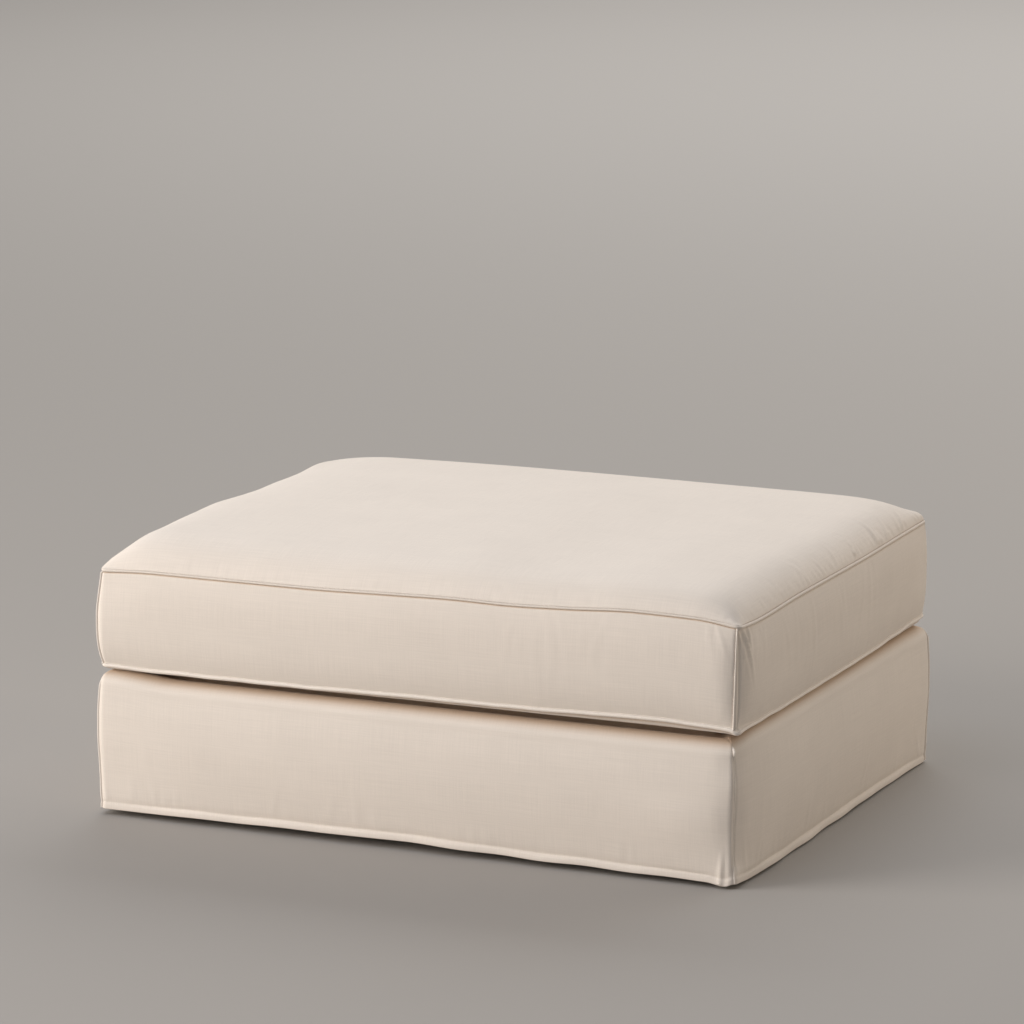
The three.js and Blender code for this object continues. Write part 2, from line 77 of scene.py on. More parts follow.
# The base's cover
# The base is a wooden frame, padded all over and dressed in a loose cover of ecru cotton canvas.
# Four side panels meet in pinched seams down the corners, the deck is sewn on over a rounded
# edge, and the foot is turned up and stitched as an 11 mm hem that hangs just off the floor.
LENGTH = 1.0  # hem to hem, left to right
DEPTH = 0.8  # hem to hem, front to back
GIRTH = 2 * (LENGTH + DEPTH)
CORNER_RADIUS = 0.012
INNER_RADIUS = 0.004  # of the same corner on an outline well inside
ARC_STEPS = 7  # in half a corner's arc
CLOSE_REACH = 0.042  # of the finer stops near a corner
CLOSE_STEPS = 11
STOP_SPACING = 0.005

# Each side's length, its way along and its way out, walked anticlockwise seen from above.
SIDES = {
    "front": (LENGTH, (1, 0), (0, -1)),
    "right": (DEPTH, (0, 1), (1, 0)),
    "back": (LENGTH, (-1, 0), (0, 1)),
    "left": (DEPTH, (0, -1), (-1, 0)),
}


def side_stops(length):
    """Distances along a side at which its outline is divided, from mid corner to mid corner."""
    turns = np.linspace(math.pi / 4, 0, ARC_STEPS, endpoint=False)
    arc = CORNER_RADIUS * (1 - math.sqrt(2) * np.sin(turns))
    close = np.linspace(CORNER_RADIUS, CLOSE_REACH, CLOSE_STEPS, endpoint=False)
    start = np.concatenate([arc, close])
    steps = round((length - 2 * CLOSE_REACH) / STOP_SPACING)
    even = np.linspace(CLOSE_REACH, length - CLOSE_REACH, steps + 1)
    return np.concatenate([start, even, length - start[:0:-1]])


stops = []
side_start = 0.0
for span, run, out in SIDES.values():
    for distance in side_stops(span):
        stops.append((side_start + distance, distance, span, *run, *out))
    side_start += span
stops = np.array(stops)
PLACE, ALONG, SPAN = stops[:, :3].T
RUN, OUT = stops[:, 3:5], stops[:, 5:7]
CORNER_STOPS = dict(
    zip(
        ("front_left", "front_right", "back_right", "back_left"),
        np.flatnonzero(ALONG == 0),
    )
)


def arc_turn(distance):
    """The angle off a side's straight run, at a distance from the middle of a corner's arc."""
    return np.arcsin(np.clip(1 - distance / CORNER_RADIUS, 0, 1) / math.sqrt(2))


TURN = arc_turn(SPAN - ALONG) - arc_turn(ALONG)
OUTWARD = OUT * np.cos(TURN)[:, None] + RUN * np.sin(TURN)[:, None]
SIDE_EVENNESS = 4
MIDDLENESS = 1 - (2 * ALONG / SPAN - 1) ** SIDE_EVENNESS  # 0 at a corner, 1 along most of a side


def outline(inset):
    """The plan points of all the stops, on an outline that lies a distance inside the hem's."""
    radius = max(CORNER_RADIUS - inset, INNER_RADIUS)
    half_run = SPAN / 2 - inset - radius
    half_out = (LENGTH + DEPTH - SPAN) / 2 - inset - radius
    share = np.clip((ALONG - CORNER_RADIUS) / (SPAN - 2 * CORNER_RADIUS), 0, 1)
    return (
        RUN * ((2 * share - 1) * half_run)[:, None]
        + OUT * half_out[:, None]
        + OUTWARD * radius
    )


def ring(inset, out, height):
    """The stops' points, pushed straight out of an inset outline and lifted to a height."""
    flat = outline(inset) + OUTWARD * np.broadcast_to(out, PLACE.shape)[:, None]
    return np.column_stack([flat, np.broadcast_to(height, PLACE.shape)])


def through(rows, at):
    """Reads rows of (place, value) at any places, on a smooth curve that never overshoots them."""
    places, values = np.array(rows, float).T
    steps = np.diff(places)
    slopes = np.diff(values) / steps
    product = slopes[:-1] * slopes[1:]
    total = np.where(product > 0, slopes[:-1] + slopes[1:], 1)
    inner = np.where(product > 0, 2 * product / total, 0)
    tangents = np.concatenate([slopes[:1], inner, slopes[-1:]])
    k = np.clip(np.searchsorted(places, at, side="right") - 1, 0, len(steps) - 1)
    t = (at - places[k]) / steps[k]
    return (
        (1 + 2 * t) * (1 - t) ** 2 * values[k]
        + t * (1 - t) ** 2 * steps[k] * tangents[k]
        + t * t * (3 - 2 * t) * values[k + 1]
        + t * t * (t - 1) * steps[k] * tangents[k + 1]
    )


def all_round(table):
    """A table's values at every stop: its curve runs on round the corners, and closes."""
    starts = (0, LENGTH, LENGTH + DEPTH, 2 * LENGTH + DEPTH)
    rows = [
        (start + place, value)
        for start, side in zip(starts, table.values())
        for place, value in side
    ]
    before = [(place - GIRTH, value) for place, value in rows[-2:]]
    after = [(place + GIRTH, value) for place, value in rows[:2]]
    return through(before + rows + after, PLACE)


def waver(wave, depth, seed):
    """A small uneven waver round the outline, with waves about as long as the one given."""
    draw = np.random.default_rng(seed)
    total = np.zeros_like(PLACE)
    parts = 9
    for _ in range(parts):
        turns = round(GIRTH / wave * draw.uniform(0.5, 1.6))
        total += np.sin(2 * math.pi * (turns * PLACE / GIRTH + draw.random()))
    return depth * total * math.sqrt(2 / parts)


# Distance along each side and height of the hem's edge there.
HEM_EDGE = {
    "front": [
        (0, 0.009), (0.2, 0.0105), (0.49, 0.0128), (0.64, 0.01), (0.79, 0.0087),
        (0.955, 0.0072), (0.982, 0.0035),
    ],
    "right": [(0, 0.007), (0.06, 0.0045), (0.27, 0.0025), (0.5, 0.0035)],
    "back": [(0, 0.0018), (0.3, 0.005), (0.65, 0.007)],
    "left": [(0, 0.006), (0.4, 0.0085)],
}
HEM_HEIGHT = 0.011  # folded edge to its line of stitches
HEM_RADIUS = 0.0013  # of the folded edge
HEM_LINE_INSET = 0.0035  # the stitches draw the cloth in
HEM_CORNER_INSET = 0.0005
HEM_WALL = 0.0045  # thickness of the hem's two turns where the frame's underside meets them

# The hem's outer face: height above the edge, and share of the way in to the stitches.
HEM_PROFILE = [(0.0013, 0), (0.005, 0.04), (0.008, 0.25), (0.0098, 0.72), (0.011, 1)]
STITCH_GROOVE = 0.0005
GROOVE_RISE = 0.012  # share of a panel's rise over which it comes out of the stitches' groove
HEM_GATHERS = {"seed": 11, "gap": 0.021, "width": 0.006, "reach": 0.014, "depth": 0.0006}

# The panels above the hem: share of the rise to the shoulder, and how far they stand outside
# the hem in the middle of a side and at a corner.
FACE = [
    (0, -0.0035, -0.0005), (0.05, -0.0012, 0.0002), (0.18, 0.0024, 0.0007),
    (0.36, 0.006, 0.002), (0.56, 0.0077, 0.0037), (0.76, 0.0066, 0.0034),
    (0.9, 0.0038, 0.002), (1, 0.0008, 0.0005),
]
FACE_MIDDLE = [(rise, out) for rise, out, _ in FACE]
FACE_CORNER = [(rise, out) for rise, _, out in FACE]
FOLD_RINGS = 8  # round the hem's folded edge
HEM_RINGS = 8
FACE_RINGS = 34
FACE_BIAS = 1.25  # sets the panels' rings closer together above the hem
SHOULDER_RADIUS = 0.023
SHOULDER_RINGS = 12

# How far the base stands off the true rectangle at each corner, and how far along the sides
# that is felt.
BASE_OFFSETS = {
    "front_left": (-0.001, 0),
    "front_right": (-0.0045, 0),
    "back_right": (0.0025, 0.0015),
    "back_left": (-0.001, 0.001),
}
CORNER_REACH = 0.12

GAP_SHADE_TURNS = (18, 72)  # degrees up the rounded edge, between which painted shade darkens the gap

DECK_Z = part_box("base")[1].z
SHOULDER_Z = DECK_Z - SHOULDER_RADIUS
UNDERSIDE_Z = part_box("foot_front_left")[1].z + 0.0003

# Inside its edge the deck sinks a little under the cushion: inset, depth below the deck, and how
# much of the edge's own sag is felt there.
DECK_HOLLOW = [
    (0.027, 0.001, 1), (0.032, 0.004, 0.95), (0.038, 0.007, 0.8),
    (0.046, 0.008, 0.55), (0.055, 0.006, 0.3), (0.066, 0, 0),
]

# At each corner the seam pulls the two panels out into a soft edge (first), or the padding has
# left them slack and rounder than the rest (second). One has slumped in at its head (third).
EDGE_PINCH = {"front_left": 0.0002, "front_right": 0.0, "back_right": 0.0012, "back_left": 0.001}
EDGE_SLACK = {"front_left": 0.0, "front_right": 0.0055, "back_right": 0.0, "back_left": 0.001}
PINCH_REACH = 0.0035
EDGE_SLUMP = {"front_right": 0.0045}
SLUMP_REACH = 0.022
SLUMP_RISE = 0.72  # share of the rise above which a corner slumps
SLACK_REACH = 0.022
SLACK_RISE = (0.45, 0.33)  # where the slack is greatest, and how far up and down it spreads

# Behind the front right corner both covers come round to the right side in a wide curve.
RIGHT_ROUNDING = 0.0065
ROUNDING_START = (LENGTH - 0.006, LENGTH + 0.008)
ROUNDING_REACH = 0.034
ROUNDING_RISE = 0.12  # share of the base's rise over which it comes in above the hem


def round_from(place):
    """How far every stop lies from a place on the outline, the shorter way round."""
    away = np.abs(PLACE - place)
    return np.minimum(away, GIRTH - away)


def ease(value, low, high):
    """0 below low, 1 above high, and smooth between."""
    t = np.clip((value - low) / (high - low), 0, 1)
    return t * t * (3 - 2 * t)


def bell(value, middle, spread):
    """1 in the middle, and fading away on both sides of it."""
    return np.exp(-(((value - middle) / spread) ** 2))


def along_side(corner, middle):
    """A measure that has one value at the corners and another along most of each side."""
    return corner + (middle - corner) * MIDDLENESS


def at_corners(amounts, fade):
    """Amounts felt at the named corners, which fade with the distance from them."""
    return sum(
        amount * fade(round_from(PLACE[CORNER_STOPS[name]])) for name, amount in amounts.items()
    )


def corner_offsets():
    """The plan offset of every stop, which fades out along the sides."""
    total = np.zeros((len(PLACE), 2))
    for name, offset in BASE_OFFSETS.items():
        near = np.clip(1 - round_from(PLACE[CORNER_STOPS[name]]) / CORNER_REACH, 0, 1)
        total += np.outer(near * near * (3 - 2 * near), offset)
    return np.column_stack([total, np.zeros(len(PLACE))])


def gathers(place, distance, seed, gap, width, reach, depth):
    """Depth of the uneven gathers that a seam draws into the cloth beside it.

    place is the distance round the outline and distance how far the cloth runs from the seam.
    """
    draw = np.random.default_rng(seed)
    total = np.zeros(np.broadcast(place, distance).shape)
    here = 0.0
    while here < GIRTH:
        slant = draw.normal(0, 0.22)
        wide = width * draw.uniform(0.7, 1.4)
        far = reach * draw.uniform(0.4, 1.5)
        deep = depth * draw.uniform(0.15, 1) ** 1.5
        off = np.abs(place - here - slant * distance)
        off = np.minimum(off, GIRTH - off) / wide
        near = distance / far
        total += deep * (1 - off**2) * np.exp(-(off**2)) * near * np.exp(1 - near) * (off < 4)
        here += gap * draw.uniform(0.5, 1.6)
    return total


hem_z = all_round(HEM_EDGE) + waver(wave=0.16, depth=0.0003, seed=3)
hem_sway = waver(wave=0.22, depth=0.0007, seed=4) * MIDDLENESS
line_inset = along_side(HEM_CORNER_INSET, HEM_LINE_INSET)
pinch = at_corners(EDGE_PINCH, lambda away: np.exp(-away / PINCH_REACH))
slack = at_corners(EDGE_SLACK, lambda away: bell(away, 0, SLACK_REACH))
slump = at_corners(EDGE_SLUMP, lambda away: bell(away, 0, SLUMP_REACH))
past_corner = np.maximum(PLACE - LENGTH, 0)
rounding = RIGHT_ROUNDING * ease(PLACE, *ROUNDING_START)
rounding *= np.exp(-past_corner / ROUNDING_REACH)

# The small tuck in the front panel beside the right hand corner: a crease that starts above the
# hem and widens down to its edge.
TUCK_FOOT = 0.977
TUCK_HEAD = 0.981
TUCK_TOP = 0.062
TUCK_WIDTH = (0.0036, 0.0018)  # at the hem's edge and at its head
TUCK_HEIGHT = 0.0022
TUCK_FADE = 0.3  # share of its length, from its foot, above which it dies away
TUCK_STEEPNESS = 1.5  # of its corner side
TUCK_HOLLOW = (0.15, 2.2)  # depth as a share of the height, and distance in widths


def tuck(height):
    """How far the cloth stands out along the tuck, with a hollow on its corner side."""
    rise = np.clip(height / TUCK_TOP, 0, 1)
    middle = TUCK_FOOT + (TUCK_HEAD - TUCK_FOOT) * rise
    off = (PLACE - middle) / (TUCK_WIDTH[0] + (TUCK_WIDTH[1] - TUCK_WIDTH[0]) * rise)
    ridge = np.where(off < 0, np.exp(-(off**2) / 2), np.exp(-TUCK_STEEPNESS * off**2))
    hollow = TUCK_HOLLOW[0] * bell(off, TUCK_HOLLOW[1], 1)
    return TUCK_HEIGHT * (1 - ease(rise, TUCK_FADE, 1)) * (ridge - hollow)


# The top edge of the front has sunk a little between its corners.
EDGE_SAG = 0.0076
SAG_FROM = (0.01, 0.12)
SAG_TO = (LENGTH - 0.01, LENGTH + 0.08)
edge_sag = EDGE_SAG * ease(PLACE, *SAG_FROM) * (1 - ease(PLACE, *SAG_TO))

# Beside the right hand corner the front panel hangs full, and turns in again above its hem.
FULLNESS = 0.0045
FULL_PLACE = (0.92, 0.075)  # where along the front it is fullest, and how far that spreads
FULL_RISE = (0.42, 0.3)  # the same up its rise
fullness_here = FULLNESS * bell(PLACE, *FULL_PLACE)


def base_rings():
    """The cover's rings, from under the hem up and over to the deck, and the outer hem's first."""
    rings = [
        ring(HEM_WALL + HEM_LINE_INSET, 0, UNDERSIDE_Z),
        ring(HEM_WALL, 0, (UNDERSIDE_Z + hem_z) / 2),
    ]
    for turn in np.linspace(-math.pi, 0, FOLD_RINGS):
        out = HEM_RADIUS * (math.cos(turn) - 1) + hem_sway + pinch
        rings.append(ring(0, out, hem_z + HEM_RADIUS * (1 + math.sin(turn))))
    first_outer = len(rings) - 1
    hem_heights = np.linspace(HEM_RADIUS, HEM_HEIGHT, HEM_RINGS + 1)[1:]
    for height, share in zip(hem_heights, through(HEM_PROFILE, hem_heights)):
        height_here = hem_z + height
        sway = hem_sway * (1 - share)
        out = sway - share * (line_inset + STITCH_GROOVE) + pinch + tuck(height_here)
        rings.append(ring(0, out, height_here))
    foot = hem_z + HEM_HEIGHT
    for rise in np.linspace(0, 1, FACE_RINGS + 1)[1:] ** FACE_BIAS:
        height = foot + (SHOULDER_Z - edge_sag - foot) * rise
        out = along_side(through(FACE_CORNER, rise), through(FACE_MIDDLE, rise))
        out = out - STITCH_GROOVE * math.exp(-rise / GROOVE_RISE) + pinch + tuck(height)
        out = out - slack * bell(rise, *SLACK_RISE)
        out = out - slump * ease(rise, SLUMP_RISE, 1) - rounding * ease(rise, 0, ROUNDING_RISE)
        out = out + fullness_here * bell(rise, *FULL_RISE)
        out += gathers(PLACE, height - foot, **HEM_GATHERS)
        rings.append(ring(0, out, height))
    shoulder_out = along_side(FACE_CORNER[-1][1], FACE_MIDDLE[-1][1])
    for turn in np.linspace(0, math.pi / 2, SHOULDER_RINGS + 1)[1:]:
        out = (shoulder_out + pinch - slump - rounding) * math.cos(turn)
        inset = SHOULDER_RADIUS * (1 - math.cos(turn))
        rings.append(ring(inset, out, SHOULDER_Z - edge_sag + SHOULDER_RADIUS * math.sin(turn)))
    for inset, depth, sag_share in DECK_HOLLOW:
        rings.append(ring(inset, 0, DECK_Z - depth - sag_share * edge_sag))
    return np.array(rings) + corner_offsets(), first_outer


def thread_lengths(rings):
    """How far the cloth runs from the first ring to each, measured at the middle of the front."""
    stop = np.argmin(np.abs(PLACE - LENGTH / 2))
    steps = np.linalg.norm(np.diff(rings[:, stop], axis=0), axis=1)
    return np.concatenate([[0], np.cumsum(steps)])


def wall_faces(levels, count):
    """The quads between stacked rings, and where each corner lies along and up the wall."""
    level, k = np.meshgrid(np.arange(levels - 1), np.arange(count), indexing="ij")
    level, k = level.ravel(), k.ravel()
    below = level * count
    above = below + count
    after = (k + 1) % count
    faces = np.column_stack([below + k, below + after, above + after, above + k])
    across = np.column_stack([k, k + 1, k + 1, k])
    up = np.column_stack([level, level, level + 1, level + 1])
    return faces, across, up


def fan_faces(start, middle, facing_up):
    """Triangles from a ring's stops, which start at a number, to a point in the middle."""
    here = start + np.arange(len(PLACE))
    after = start + (np.arange(len(PLACE)) + 1) % len(PLACE)
    first, second = (here, after) if facing_up else (after, here)
    return np.column_stack([np.full(len(PLACE), middle), first, second])


def carry(mesh, name, kind, domain, values):
    """Gives each point or face corner of a mesh a value under a name."""
    layer = mesh.attributes.new(name, kind, domain)
    layer.data.foreach_set("vector" if kind == "FLOAT_VECTOR" else "value", np.ravel(values))


def piece_of(name, points, faces, threads, material, painted_shade_depth):
    """An object whose faces also carry where each corner lies in the cloth's own weave.

    The last argument is the painted shade of each point: 1 deep in the gap between the base and
    the cushion, 0 elsewhere.
    """
    mesh = bpy.data.meshes.new(name)
    mesh.from_pydata(points.tolist(), [], [face.tolist() for group in faces for face in group])
    flat = np.concatenate([group.reshape(-1, 2) for group in threads])
    thread = np.column_stack([flat, np.zeros(len(flat))])
    carry(mesh, "thread", "FLOAT_VECTOR", "CORNER", thread)
    carry(mesh, "gap", "FLOAT", "POINT", painted_shade_depth)
    mesh.shade_smooth()
    mesh.materials.append(material)
    return placed(name, mesh)


class Wire:
    """A socket that gives a value. Python's own arithmetic on it adds Math nodes."""

    def __init__(self, nodes, socket):
        self.nodes = nodes
        self.socket = socket

    def math(self, operation, *values):
        inputs = dict(enumerate(values))
        return self.nodes.add("ShaderNodeMath", {"operation": operation}, inputs)

    def __add__(self, other):
        return self.math("ADD", self, other)

    __radd__ = __add__

    def __mul__(self, other):
        return self.math("MULTIPLY", self, other)

    __rmul__ = __mul__

    def __sub__(self, other):
        return self.math("SUBTRACT", self, other)

    def __rsub__(self, other):
        return self.math("SUBTRACT", other, self)

    def __pow__(self, other):
        return self.math("POWER", self, other)

    def sine(self):
        return self.math("SINE", self)

    def size(self):
        return self.math("ABSOLUTE", self)


class Nodes:
    """A node tree, to which one method adds nodes."""

    def __init__(self, tree):
        self.tree = tree

    def add(self, kind, settings=None, inputs=None, output=0):
        """Adds a node: its settings first, then the values or wires of its sockets.

        It gives the wire of one output, or for None the wires of all.
        """
        node = self.tree.nodes.new(kind)
        for name, value in (settings or {}).items():
            setattr(node, name, value)
        for name, value in (inputs or {}).items():
            if isinstance(value, Wire):
                self.tree.links.new(value.socket, node.inputs[name])
            else:
                node.inputs[name].default_value = value
        wires = [Wire(self, socket) for socket in node.outputs]
        if output is None or not wires:
            return wires
        return wires[output]


def blank_material(name):
    """A new material, and its empty tree."""
    material = bpy.data.materials.new(name)
    material.use_nodes = True
    material.node_tree.nodes.clear()
    return material, Nodes(material.node_tree)


def finish(nodes, colour, roughness, height, relief, more):
    """Ends a material's tree. relief is the bump's strength and its depth in metres."""
    strength, depth = relief
    bump = nodes.add(
        "ShaderNodeBump", inputs={"Strength": strength, "Distance": depth, "Height": height}
    )
    inputs = {"Base Color": colour, "Roughness": roughness, "Normal": bump}
    shader = nodes.add("ShaderNodeBsdfPrincipled", inputs=inputs | more)
    nodes.add("ShaderNodeOutputMaterial", inputs={"Surface": shader})


YARN = 0.00062  # from one yarn to the next
SLUB_TONE = 0.11
CLOUD_TONE = 0.07
WEAVE_TONE = 0.1
CLOTH_SHEEN = {"Specular IOR Level": 0.25, "Sheen Weight": 0.12, "Sheen Roughness": 0.5}


def canvas(name, tone, bias=0.0):
    """Ecru cotton canvas: a plain weave with slubs and slow changes of tone, and painted shade.

    bias turns the weave on the piece, as on strips cut across the cloth.
    """
    material, nodes = blank_material(name)
    thread = nodes.add("ShaderNodeAttribute", {"attribute_name": "thread"}, output=1)
    turned = nodes.add(
        "ShaderNodeVectorRotate", {"rotation_type": "Z_AXIS"}, {"Vector": thread, "Angle": bias}
    )
    warp, weft, _ = nodes.add("ShaderNodeSeparateXYZ", inputs={0: turned}, output=None)
    crossings = (warp * (math.pi / YARN)).sine() * (weft * (math.pi / YARN)).sine()
    weave = crossings.size() ** 0.6

    def streaks(across, along, seed):
        stretched = nodes.add(
            "ShaderNodeCombineXYZ", inputs={0: warp * across, 1: weft * along, 2: seed}
        )
        noise = nodes.add(
            "ShaderNodeTexNoise", inputs={"Vector": stretched, "Scale": 1.0, "Detail": 2.0}
        )
        return noise - 0.5

    slubs = streaks(across=620.0, along=16.0, seed=1.0)
    slubs += streaks(across=14.0, along=560.0, seed=7.0)
    clouds = streaks(across=9.0, along=9.0, seed=3.0)
    light = 1.0 + slubs * SLUB_TONE + clouds * CLOUD_TONE + (weave - 0.6) * WEAVE_TONE
    colour = nodes.add("ShaderNodeVectorMath", {"operation": "SCALE"}, {0: tone, "Scale": light})
    # Painted shade: where the points carry a gap value, the colour is darkened towards the shade
    # tone, deep in the gap under the cushion and in the crease below the top welt.
    shaded_colour = nodes.add("ShaderNodeVectorMath", {"operation": "MULTIPLY"}, {0: colour, 1: PAINTED_SHADE_TONE})
    gap = nodes.add("ShaderNodeAttribute", {"attribute_name": "gap"}, output=2)
    colour = nodes.add(
        "ShaderNodeMix", {"data_type": "RGBA"}, {0: gap, 6: colour, 7: shaded_colour}, output=2
    )
    roughness = 0.92 - weave * 0.06
    finish(nodes, colour, roughness, weave + slubs * 0.8, (0.35, 0.00012), CLOTH_SHEEN)
    return material


PANEL_TONE = (0.77, 0.7, 0.63)
# Painted highlight: the seams' canvas is the panels' cloth painted lighter, for the light that the
# bottom welt and the corner seams catch.
LIT_SEAM_TONE = (0.83, 0.76, 0.69)
PAINTED_SHADE_TONE = (0.72, 0.6, 0.49)  # painted shade: multiplies the cloth's own tone, deep in the gap
panel_canvas = canvas("panel canvas", PANEL_TONE)
lit_seam_canvas = canvas("seam canvas", LIT_SEAM_TONE, bias=math.pi / 4)

rings, hem_ring = base_rings()
threads = thread_lengths(rings)
around = np.append(PLACE, GIRTH)
faces, across, up = wall_faces(len(rings), len(PLACE))
wall_threads = np.stack([around[across], threads[up]], axis=2)
points = np.concatenate([rings.reshape(-1, 3), [(0, 0, UNDERSIDE_Z), (0, 0, DECK_Z)]])
below = fan_faces(0, len(points) - 2, facing_up=False)
above = fan_faces((len(rings) - 1) * len(PLACE), len(points) - 1, facing_up=True)
# Painted shade: the deck under the cushion is darkened fully, and the rounded edge below it more
# and more as it turns in.
shade_depths = np.zeros(len(rings))
shade_depths[-len(DECK_HOLLOW) :] = 1
shade_depths[-len(DECK_HOLLOW) - SHOULDER_RINGS : -len(DECK_HOLLOW)] = ease(
    np.linspace(0, 90, SHOULDER_RINGS + 1)[1:], *GAP_SHADE_TURNS
)
shade_depths = np.append(np.repeat(shade_depths, len(PLACE)), [0, 1])
base_cover = piece_of(
    "base_cover",
    points,
    [faces, below, above],
    [wall_threads, points[below][:, :, :2], points[above][:, :, :2]],
    panel_canvas,
    shade_depths,
)
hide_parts("base")
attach(base_cover, "root")
base_wall = rings[hem_ring : -len(DECK_HOLLOW)]


# The base's corner seams
# Where two side panels meet, their edges are sewn together and pressed into a thin raised line,
# which climbs from the hem and turns in over the rounded edge.
def path_tree(name, sizes, more):
    """An empty Geometry Nodes tree that takes a path and named sizes, and the inputs' wires."""
    tree = bpy.data.node_groups.new(name, "GeometryNodeTree")
    sockets = {"Path": "Geometry"} | dict.fromkeys(sizes, "Float") | more
    for socket, kind in sockets.items():
        tree.interface.new_socket(socket, in_out="INPUT", socket_type=f"NodeSocket{kind}")
    tree.interface.new_socket("Geometry", in_out="OUTPUT", socket_type="NodeSocketGeometry")
    nodes = Nodes(tree)
    return tree, nodes, nodes.add("NodeGroupInput", output=None)[:-1]


def read(nodes, name, kind="FLOAT"):
    """The value that each point carries under a name."""
    return nodes.add("GeometryNodeInputNamedAttribute", {"data_type": kind}, {"Name": name})


def store(nodes, geometry, name, value, kind="FLOAT", domain="POINT"):
    """Gives each point or face corner a value to carry under a name."""
    return nodes.add(
        "GeometryNodeStoreNamedAttribute",
        {"data_type": kind, "domain": domain},
        {"Geometry": geometry, "Name": name, "Value": value},
    )


def end_tree(nodes, geometry, cloth):
    """Turns what was made into a plain mesh of one cloth."""
    geometry = nodes.add("GeometryNodeRealizeInstances", inputs={"Geometry": geometry})
    geometry = nodes.add(
        "GeometryNodeSetMaterial", inputs={"Geometry": geometry, "Material": cloth}
    )
    nodes.add("NodeGroupOutput", inputs={0: geometry})


def sewn_line_tree():
    """Geometry Nodes: a flattened cord along a path, dimpled where each stitch holds it."""
    sizes = ("Width", "Height", "Sink", "Step", "Stitch", "Dimple", "Unevenness")
    tree, nodes, wires = path_tree("sewn line", sizes, {"Sides": "Int", "Cloth": "Material"})
    path, width, height, sink, step, stitch, dimple, unevenness, sides, cloth = wires
    curve = nodes.add("GeometryNodeMeshToCurve", inputs={"Mesh": path})
    curve = nodes.add(
        "GeometryNodeResampleCurve", {"mode": "LENGTH"}, {"Curve": curve, "Length": step}
    )
    outward = read(nodes, "outward", "FLOAT_VECTOR")
    curve = nodes.add(
        "GeometryNodeSetCurveNormal", {"mode": "FREE"}, {"Curve": curve, "Normal": outward}
    )
    lift = nodes.add(
        "ShaderNodeVectorMath",
        {"operation": "SCALE"},
        {0: outward, "Scale": height * 0.5 - sink},
    )
    curve = nodes.add("GeometryNodeSetPosition", inputs={"Geometry": curve, "Offset": lift})
    length = nodes.add("GeometryNodeSplineParameter", output=1)
    bite = (length * (2 * math.pi) * (stitch**-1.0)).sine() * dimple
    noise = nodes.add(
        "ShaderNodeTexNoise",
        {"noise_dimensions": "1D"},
        {"W": length, "Scale": 55.0, "Detail": 1.0},
    )
    girth = (1.0 - bite + (noise - 0.5) * unevenness) * read(nodes, "full")
    curve = store(nodes, curve, "run", length)
    profile = nodes.add(
        "GeometryNodeCurvePrimitiveCircle",
        {"mode": "RADIUS"},
        {"Resolution": sides, "Radius": 0.5},
    )
    shape = nodes.add("ShaderNodeCombineXYZ", inputs={0: height, 1: width, 2: 1.0})
    profile = nodes.add(
        "GeometryNodeTransform",
        inputs={"Geometry": profile, "Rotation": (0, 0, math.pi), "Scale": shape},
    )
    profile = store(
        nodes, profile, "wrap", nodes.add("GeometryNodeSplineParameter", output=1)
    )
    cord = nodes.add(
        "GeometryNodeCurveToMesh",
        inputs={"Curve": curve, "Profile Curve": profile, "Scale": girth, "Fill Caps": True},
    )
    thread = nodes.add(
        "ShaderNodeCombineXYZ", inputs={0: read(nodes, "run"), 1: read(nodes, "wrap")}
    )
    end_tree(nodes, store(nodes, cord, "thread", thread, "FLOAT_VECTOR", "CORNER"), cloth)
    return tree


def grown(name, path, outward, closed, tree, values, full=1.0):
    """A plain mesh piece that a Geometry Nodes tree makes along a path of points.

    full is how thick the piece is at each point, as a share of its greatest thickness.
    """
    count = len(path)
    mesh = bpy.data.meshes.new(name + "_path")
    links = [(k, (k + 1) % count) for k in range(count if closed else count - 1)]
    mesh.from_pydata(path.tolist(), links, [])
    carry(mesh, "outward", "FLOAT_VECTOR", "POINT", outward)
    carry(mesh, "full", "FLOAT", "POINT", np.broadcast_to(full, count).astype(float))
    maker = placed(name + "_maker", mesh)
    modifier = maker.modifiers.new("grown", "NODES")
    modifier.node_group = tree
    for item in tree.interface.items_tree:
        if item.name in values:
            modifier[item.identifier] = values[item.name]
    evaluated = maker.evaluated_get(bpy.context.evaluated_depsgraph_get())
    made = bpy.data.meshes.new_from_object(evaluated)
    made.name = name
    made.shade_smooth()
    bpy.data.objects.remove(maker)
    return placed(name, made)


def unit(vectors):
    """The same directions, each one metre long."""
    return vectors / np.linalg.norm(vectors, axis=-1, keepdims=True)


SEWN_LINE = sewn_line_tree()
BASE_SEAM = {
    "Width": 0.0026,
    "Height": 0.0046,
    "Sink": 0.001,
    "Step": 0.0015,
    "Stitch": 0.0036,
    "Dimple": 0.025,
    "Unevenness": 0.25,
    "Sides": 16,
    "Cloth": lit_seam_canvas,
}
SEAM_END_TURN = math.radians(56)  # up the rounded edge, where the cushion hides the seam
BASE_SEAM_TURN = {"front_left": 0, "front_right": 6, "back_right": 0, "back_left": 0}  # degrees
# How much thicker each seam is where its cloth bunches up at the rounded edge.
BUNCHING = {"front_left": 0.15, "front_right": 0.9, "back_right": 0.25, "back_left": 0.2}
BUNCH_SPREAD = 0.007  # up and down from where the edge starts to turn in
BUNCH_RISE = 0.0044
# How deep each seam lies in the cover, and how much deeper it goes as it turns in.
BASE_SEAM_SINK = {
    "front_left": 0.0012, "front_right": 0.0024, "back_right": 0.0, "back_left": 0.0005
}
SINK_AT_DECK = 0.003
SINK_START = 0.02  # below where the edge starts to turn in


def around_ring(values, place):
    """A ring's values, read at a place between its stops."""
    closed = np.vstack([values, values[:1]])
    where = np.append(PLACE, GIRTH)
    return np.array([np.interp(place % GIRTH, where, column) for column in closed.T])


